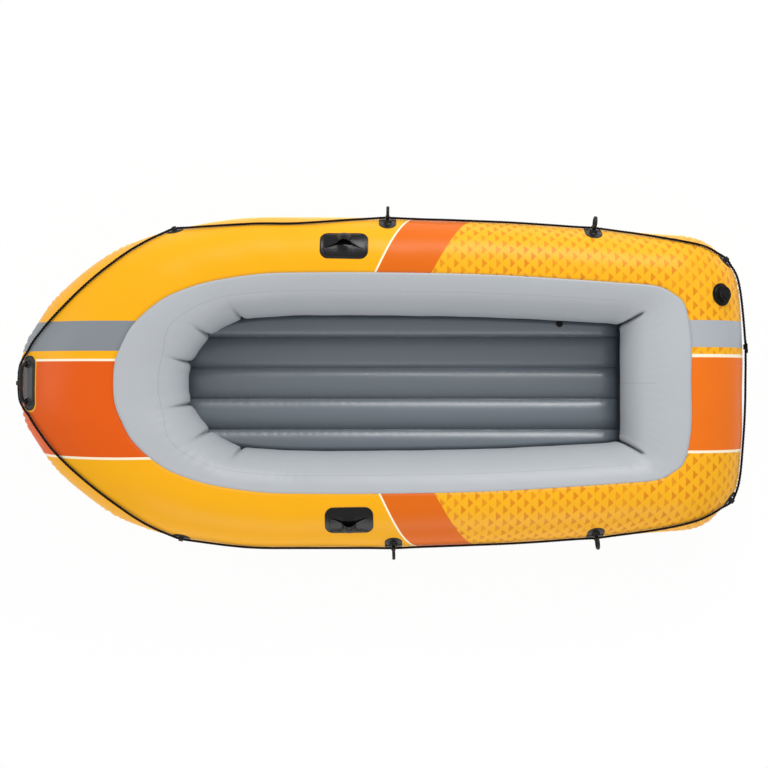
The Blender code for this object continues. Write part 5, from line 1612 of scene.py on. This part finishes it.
# %% [markdown]
# ## Valves
# The big valve has a base welded in the hull, an insert screwed into it and a cap on a strap. Its
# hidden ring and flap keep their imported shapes. The floor and the inner chamber each have a short
# stem with a push-in plug.

# %% Main valve
MAIN_VALVE_ANGLE, MAIN_VALVE_Y = math.radians(57), 0.5186 * HULL_BEAM / 2
FLANGE = {"length": 0.073, "width": 0.073, "corner": 0.03649}
INSERT_SEAT, INSERT_TOP = 0.0121, 0.0171
CAP_SEAT, CAP_TOP = INSERT_TOP + 0.0003, INSERT_TOP + 0.0038
ARM = {"length": 0.0046, "width": 0.0155, "corner": 0.0018, "count": 40, "centre": (0, 0.01075)}
PULL = {"length": 0.0070, "width": 0.0100, "corner": 0.0030, "count": 40, "centre": (0, -0.0130)}
ARM_THICKNESS, PULL_THICKNESS = 0.0020, 0.0018
# Profiles of (radius, height) about the valve's axis.
COLLAR = (
    (0.0195, 0.0100), (0.0270, 0.0100), (0.0270, 0.0030), (0.0300, 0.0010),
    (0.0300, -0.0050), (0.0213, -0.0050), (0.0213, -0.0240), (0.0195, -0.0240),
)
INSERT = (
    (0.0075, -0.0140), (0.0191, -0.0140), (0.0191, INSERT_SEAT), (0.0245, INSERT_SEAT),
    (0.0245, INSERT_TOP - 0.0010), (0.0232, INSERT_TOP), (0.0200, INSERT_TOP),
    (0.0195, INSERT_TOP - 0.0008), (0.0150, INSERT_TOP - 0.0008), (0.0146, INSERT_TOP),
    (0.0103, INSERT_TOP), (0.0103, INSERT_TOP - 0.0040), (0.0075, INSERT_TOP - 0.0040),
)
CAP = (
    (0, INSERT_TOP - 0.0028), (0.0094, INSERT_TOP - 0.0028), (0.0096, CAP_SEAT), (0.0135, CAP_SEAT),
    (0.0135, CAP_TOP - 0.0012), (0.0125, CAP_TOP), (0.0060, CAP_TOP - 0.0004), (0, CAP_TOP - 0.0006),
)


def make_main_valve():
    t = row_at(1, MAIN_VALVE_ANGLE, 1, MAIN_VALVE_Y, low=13.0)
    place = hull_frame(t, 1, MAIN_VALVE_ANGLE)
    flange = patch(oval(**FLANGE), place, rows=5, inner_share=0.70)
    collar = turned(eased(COLLAR, 0.0012, True), place, 72, loop=True)
    base = piece("main_valve_base_moulding", flange, collar)
    finish_piece(base, "main_valve_base", "hull", CAP_RUBBER)
    screwed = turned(eased(INSERT, 0.0006, True, 2), place, 288, 36, 0.0011, loop=True)
    insert = piece("main_valve_insert_moulding", screwed)
    finish_piece(insert, "main_valve_insert", "valve_insert", CAP_RUBBER)
    cap = piece(
        "main_valve_cap_moulding",
        turned(eased(CAP, 0.0005, steps=3), place, 64),
        slab(oval(**ARM), CAP_SEAT, CAP_SEAT + ARM_THICKNESS, place),
        slab(oval(**PULL), CAP_SEAT, CAP_SEAT + PULL_THICKNESS, place),
    )
    finish_piece(cap, "main_valve_cap", "valve_cap", CAP_RUBBER)


make_main_valve()

# %% Plugged valves and the valve's hidden pieces
INNER_VALVE_ANGLE, INNER_VALVE_SHARE = math.radians(203), 0.8471
STEM_TOP = 0.0018
STEM = (
    (0.0040, -0.0160), (0.0070, -0.0160), (0.0070, 0.0003),
    (0.0120, 0.0003), (0.0120, STEM_TOP), (0.0040, STEM_TOP),
)
PLUG = (
    (0, -0.0079), (0.0035, -0.0079), (0.0036, 0.0021), (0.0082, 0.0021),
    (0.0082, 0.0041), (0.0074, 0.0051), (0.0040, 0.0049), (0, 0.0046),
)


def make_plugged_valve(name, place, plug_body):
    stem = turned(eased(STEM, 0.0005, True, 3), place, 48, loop=True)
    item = piece(name + "_stem_moulding", stem)
    finish_piece(item, name + "_stem", "hull", RUBBER)
    plug = turned(eased(PLUG, 0.0005, steps=3), place, 120, 20, 0.0006)
    item = piece(name + "_plug_moulding", plug)
    finish_piece(item, name + "_plug", plug_body, CAP_RUBBER)


inner_valve_x = COCKPIT_FRONT_X + INNER_VALVE_SHARE * COCKPIT_LENGTH
inner_valve_t = row_at(-1, INNER_VALVE_ANGLE, 0, inner_valve_x, 6.5, 12.0)
inner_valve_place = hull_frame(inner_valve_t, -1, INNER_VALVE_ANGLE)
make_plugged_valve("inner_valve", inner_valve_place, "inner_plug")
stem_node = nodes["floor_valve_stem"]
stem_corners = np.array([stem_node.matrix_world @ Vector(c) for c in stem_node.bound_box])
stem_x, stem_y = stem_corners[:, :2].mean(axis=0)
floor_place = Matrix.Translation((stem_x, stem_y, stem_corners[:, 2].max() - STEM_TOP))
make_plugged_valve("floor_valve", floor_place, "floor_plug")
CLEAR_FILM = film_material("clear_flap_film", linear(196, 200, 196), 0.25, 0.05, 0.1)
for name, material in (
    ("main_valve_gasket", SOFT_RUBBER),
    ("main_valve_hinge_ears", RUBBER),
    ("main_valve_flap", CLEAR_FILM),
):
    paint(nodes[name], material)

# %% [markdown]
# ## Grab line
# The line is laid rope, three strands twisted together. Geometry Nodes does that well: three small
# circles are swept along the path at once, and the path's tilt grows with its length, so they wind
# round each other. The path runs straight through each bridge, lies higher on the tube in the long
# free stretches, and stands off the stern. The knot is a barrel knot, wound with the same tree.

# %% Geometry Nodes: laid rope
ROPE_INPUTS = {"Lay Length": 0.030, "Strand Radius": 0.0021, "Lay Radius": 0.0021, "Step": 0.0022}


def make_rope_tree():
    tree = bpy.data.node_groups.new("laid_rope", "GeometryNodeTree")
    face = tree.interface
    face.new_socket("Path", in_out="INPUT", socket_type="NodeSocketGeometry")
    for name, value in ROPE_INPUTS.items():
        face.new_socket(name, in_out="INPUT", socket_type="NodeSocketFloat").default_value = value
    face.new_socket("Material", in_out="INPUT", socket_type="NodeSocketMaterial")
    face.new_socket("Rope", in_out="OUTPUT", socket_type="NodeSocketGeometry")
    new, link = tree.nodes.new, tree.links.new
    start, end = new("NodeGroupInput"), new("NodeGroupOutput")
    to_curve = new("GeometryNodeMeshToCurve")
    even = new("GeometryNodeResampleCurve")
    even.mode = "LENGTH"
    along = new("GeometryNodeSplineParameter")
    turns = step(tree, "DIVIDE", along.outputs["Length"], start.outputs["Lay Length"])
    tilt = new("GeometryNodeSetCurveTilt")
    lay = new("GeometryNodeMeshCircle")
    lay.inputs["Vertices"].default_value = 3
    strand = new("GeometryNodeCurvePrimitiveCircle")
    strand.inputs["Resolution"].default_value = 10
    place = new("GeometryNodeInstanceOnPoints")
    real = new("GeometryNodeRealizeInstances")
    sweep = new("GeometryNodeCurveToMesh")
    sweep.inputs["Fill Caps"].default_value = True
    soft = new("GeometryNodeSetShadeSmooth")
    whole = new("GeometryNodeRealizeInstances")
    coat = new("GeometryNodeSetMaterial")
    link(start.outputs["Path"], to_curve.inputs["Mesh"])
    link(to_curve.outputs[0], even.inputs["Curve"])
    link(start.outputs["Step"], even.inputs["Length"])
    link(even.outputs[0], tilt.inputs["Curve"])
    link(times(tree, turns, 2 * math.pi), tilt.inputs["Tilt"])
    link(start.outputs["Lay Radius"], lay.inputs["Radius"])
    link(start.outputs["Strand Radius"], strand.inputs["Radius"])
    link(lay.outputs["Mesh"], place.inputs["Points"])
    link(strand.outputs["Curve"], place.inputs["Instance"])
    link(place.outputs[0], real.inputs[0])
    link(tilt.outputs[0], sweep.inputs["Curve"])
    link(real.outputs[0], sweep.inputs["Profile Curve"])
    link(sweep.outputs[0], soft.inputs["Geometry"])
    link(soft.outputs[0], whole.inputs[0])
    link(whole.outputs[0], coat.inputs["Geometry"])
    link(start.outputs["Material"], coat.inputs["Material"])
    link(coat.outputs[0], end.inputs["Rope"])
    return tree


ROPE_TREE = make_rope_tree()
print("rope tree made, with", len(ROPE_TREE.nodes), "nodes")

# %% A length of rope
ROPE_BUMP = 0.0004
FIBRE_BLACK = linear(16, 10, 8)
ROPE_FIBRE = moulded_material("black_rope_fibre", FIBRE_BLACK, 0.60, 0.03, ROPE_BUMP, shine=0.12)
ROPE_SOCKETS = {
    item.name: item.identifier for item in ROPE_TREE.interface.items_tree if item.in_out == "INPUT"
}


def laid_rope(name, path, lay_length, strand_radius):
    """A plain mesh of laid rope along a path of points."""
    guide_mesh = bpy.data.meshes.new(name + "_path")
    links = [(i, i + 1) for i in range(len(path) - 1)]
    guide_mesh.from_pydata([tuple(p) for p in path], links, [])
    guide = bpy.data.objects.new(name + "_path", guide_mesh)
    bpy.context.scene.collection.objects.link(guide)
    modifier = guide.modifiers.new("laid_rope", "NODES")
    modifier.node_group = ROPE_TREE
    modifier[ROPE_SOCKETS["Lay Length"]] = lay_length
    modifier[ROPE_SOCKETS["Strand Radius"]] = strand_radius
    modifier[ROPE_SOCKETS["Lay Radius"]] = strand_radius
    modifier[ROPE_SOCKETS["Material"]] = ROPE_FIBRE
    ready = guide.evaluated_get(bpy.context.evaluated_depsgraph_get())
    mesh = bpy.data.meshes.new_from_object(ready)
    bpy.data.objects.remove(guide)
    item = bpy.data.objects.new(name, mesh)
    bpy.context.scene.collection.objects.link(item)
    return item


def smooth_path(points, spacing):
    """A smooth curve through the points, sampled evenly."""
    points = np.asarray(points, float)
    line = []
    for i in range(len(points) - 1):
        p0, p1 = points[max(i - 1, 0)], points[i]
        p2, p3 = points[i + 1], points[min(i + 2, len(points) - 1)]
        gap = np.linalg.norm(p2 - p1)
        m1 = (p2 - p0) / max(np.linalg.norm(p2 - p0), 1e-9) * gap
        m2 = (p3 - p1) / max(np.linalg.norm(p3 - p1), 1e-9) * gap
        for s in np.linspace(0, 1, 13)[:-1]:
            from_p1 = (2 * s**3 - 3 * s**2 + 1) * p1 + (s**3 - 2 * s**2 + s) * m1
            line.append(from_p1 + (3 * s**2 - 2 * s**3) * p2 + (s**3 - s**2) * m2)
    line.append(points[-1])
    return evenly(line, spacing=spacing)[0]


print("a rope takes these settings:", ", ".join(ROPE_SOCKETS))

# %% [markdown]
# ### The line's course
# Between two holders the line rides up the tube by an angle that differs from stretch to stretch, and
# it wanders a little. At the bow it starts out lower and leaves its holder more gently.

# %% Points of the line
LOOP_END = 2 * LAST_ROW
MARK_STEP, STOP_CLEARANCE = 0.25, 0.026
LUG_RUN, LUG_RUN_ROWS = 0.009, 0.002
LINE_LIFT = ROPE_HEIGHT - 0.001
# How far the line rides up in each stretch from the bow to the stern, in degrees, for each side.
LINE_RISES = {1: (25.5, 20, 6, 20, 20), -1: (25.5, 6, 6, 20, 20)}
BOW_START_SHARE = 0.82
LAST_FREE_ROW, GENTLE_ROWS = 14, 2.4
GENTLE_REACH, BOW_REACH, SIDE_REACH = 1.1, 1.9, 1.4
WANDER, WANDER_PACE = math.radians(1.1), 2.3
held_rows = {
    side: [t for t, at_side, _ in rope_stops if at_side == side and t > 0.05] for side in (1, -1)
}


def other_way(t, side):
    """From a row to its place along the whole loop, and back."""
    return t if side > 0 else LOOP_END - t


def line_rise(t, side, away):
    """How far up the tube the line rides, away rows from the nearest holder."""
    stretch = sum(row < t for row in held_rows[side])
    rise = math.radians(LINE_RISES[side][stretch]) * float(smooth(LAST_FREE_ROW - t))
    rise *= BOW_START_SHARE + (1 - BOW_START_SHARE) * float(smooth((t - 1.8) / 1.2))
    if t < GENTLE_ROWS:
        return rise * float(smooth(away / GENTLE_REACH))
    reach = SIDE_REACH if stretch else BOW_REACH
    return rise * math.sin(math.pi / 2 * min(away / reach, 1))


def free_marks(stops):
    """Points of the line between its holders, each with its place along the loop."""
    marks = []
    for loop_t in np.arange(0.0, LOOP_END, MARK_STEP):
        side = 1 if loop_t <= LAST_ROW else -1
        t = other_way(loop_t, side)
        gaps = [abs(loop_t - stop_t) for stop_t, _, _ in stops]
        away = min(min(gap, LOOP_END - gap) for gap in gaps)
        wander = WANDER * math.sin(WANDER_PACE * loop_t + side) * float(smooth(away / 0.8))
        spot = hull_frame(t, side, rope_angle(t) + line_rise(t, side, away) + wander)
        here = spot.translation + spot.col[2].to_3d() * LINE_LIFT
        if min((place.translation - here).length for _, _, place in stops) > STOP_CLEARANCE:
            marks.append((loop_t, here))
    return marks


def held_marks(stops):
    """Two points at each bridge, so that the line runs straight through it."""
    marks = []
    for loop_t, side, place in stops:
        middle = place.translation + place.col[2].to_3d() * ROPE_HEIGHT
        along = place.col[0].to_3d() * LUG_RUN
        next_row = min(abs(LAST_ROW - abs(LAST_ROW - loop_t - 0.2)), LAST_ROW)
        after = hull_frame(next_row, side, 0.3).translation
        if (after - middle).dot(along) < 0:
            along.negate()
        if loop_t < 0.05:
            along = Vector((0, LUG_RUN, 0))
        marks += [(loop_t - LUG_RUN_ROWS, middle - along), (loop_t + LUG_RUN_ROWS, middle + along)]
    return marks


stops = [(other_way(t, side), side, place) for t, side, place in rope_stops]
line_marks = sorted(free_marks(stops) + held_marks(stops), key=lambda mark: mark[0])
line_points = [np.array(point) for _, point in line_marks]
print("points of the line:", len(line_points))

# %% The line and its knot
STERN_SLACK, SLACK_REACH, SLACK_WIDTH = 0.0045, 0.03, 0.30
KNOT_Y = 0.2175 * HULL_BEAM / 2
KNOT_FREE, KNOT_HALF, KNOT_COIL, KNOT_TURNS = 0.030, 0.0085, 0.0047, 3.25
LINE_LAY, LINE_STRAND, LINE_SPACING, LINE_CLEARANCE = 0.030, 0.00205, 0.004, 0.0049
KNOT_LAY, KNOT_STRAND, KNOT_SPACING = 0.016, 0.0017, 0.002


def line_course(points):
    """The line's path from the knot round to the knot, the knot's place and its direction."""
    stern_x = max(p[0] for p in points)
    for p in points:
        aft = float(smooth((p[0] - stern_x + SLACK_REACH) / SLACK_REACH))
        bump = float(smooth(1 - abs(p[1] - KNOT_Y / 2) / SLACK_WIDTH))
        p[0] += STERN_SLACK * aft * bump
    at_stern = [i for i, p in enumerate(points) if p[0] > 0.8 * stern_x]
    start = min(at_stern, key=lambda i: abs(points[i][1] - KNOT_Y))
    points = points[start:] + points[:start]
    knot = points[0].copy()
    knot[1] = KNOT_Y
    rest = [p for p in points[1:] if np.linalg.norm(p - knot) > KNOT_FREE]
    rest = rest if rest[0][1] < knot[1] else rest[::-1]
    course = rest[-1] - rest[0]
    course = course / np.linalg.norm(course)
    first = [knot - course * 0.004, knot - course * 0.012]
    last = [knot + course * 0.012, knot + course * 0.004]
    path = smooth_path(first + rest + last, LINE_SPACING)
    for p in path:
        _, normal, _, distance = HULL_SKIN.find_nearest(Vector(p))
        if distance < LINE_CLEARANCE:
            p += np.array(normal) * (LINE_CLEARANCE - distance)
    return path, knot, course


def knot_course(knot, course):
    """The barrel knot's coil, with a short end at each side."""
    side = np.cross(course, (0.0, 0.0, 1.0))
    side /= np.linalg.norm(side)
    up = np.cross(side, course)
    turn = np.linspace(0, KNOT_TURNS * 2 * math.pi, 90)
    coil = knot + np.outer(np.linspace(-KNOT_HALF, KNOT_HALF, len(turn)), course)
    coil += KNOT_COIL * (np.cos(turn)[:, None] * side + np.sin(turn)[:, None] * up)
    tail = [coil[-1] + course * 0.004 + up * 0.0005, coil[-1] + course * 0.011 - up * 0.0012]
    head = [coil[0] - course * 0.011 - up * 0.0012, coil[0] - course * 0.004 + up * 0.0005]
    return smooth_path(np.vstack((head, coil, tail)), KNOT_SPACING)


line_path, knot_place, knot_direction = line_course(line_points)
line = laid_rope("grab_line_rope", line_path, LINE_LAY, LINE_STRAND)
finish_piece(line, "grab_line", "hull", ROPE_FIBRE)
knot_path = knot_course(knot_place, knot_direction)
knot = laid_rope("grab_line_barrel_knot", knot_path, KNOT_LAY, KNOT_STRAND)
finish_piece(knot, "grab_line_knot", "hull", ROPE_FIBRE)
line_length = np.linalg.norm(np.diff(line_path, axis=0), axis=1).sum()
print("grab line:", round(line_length, 3), "m of rope")
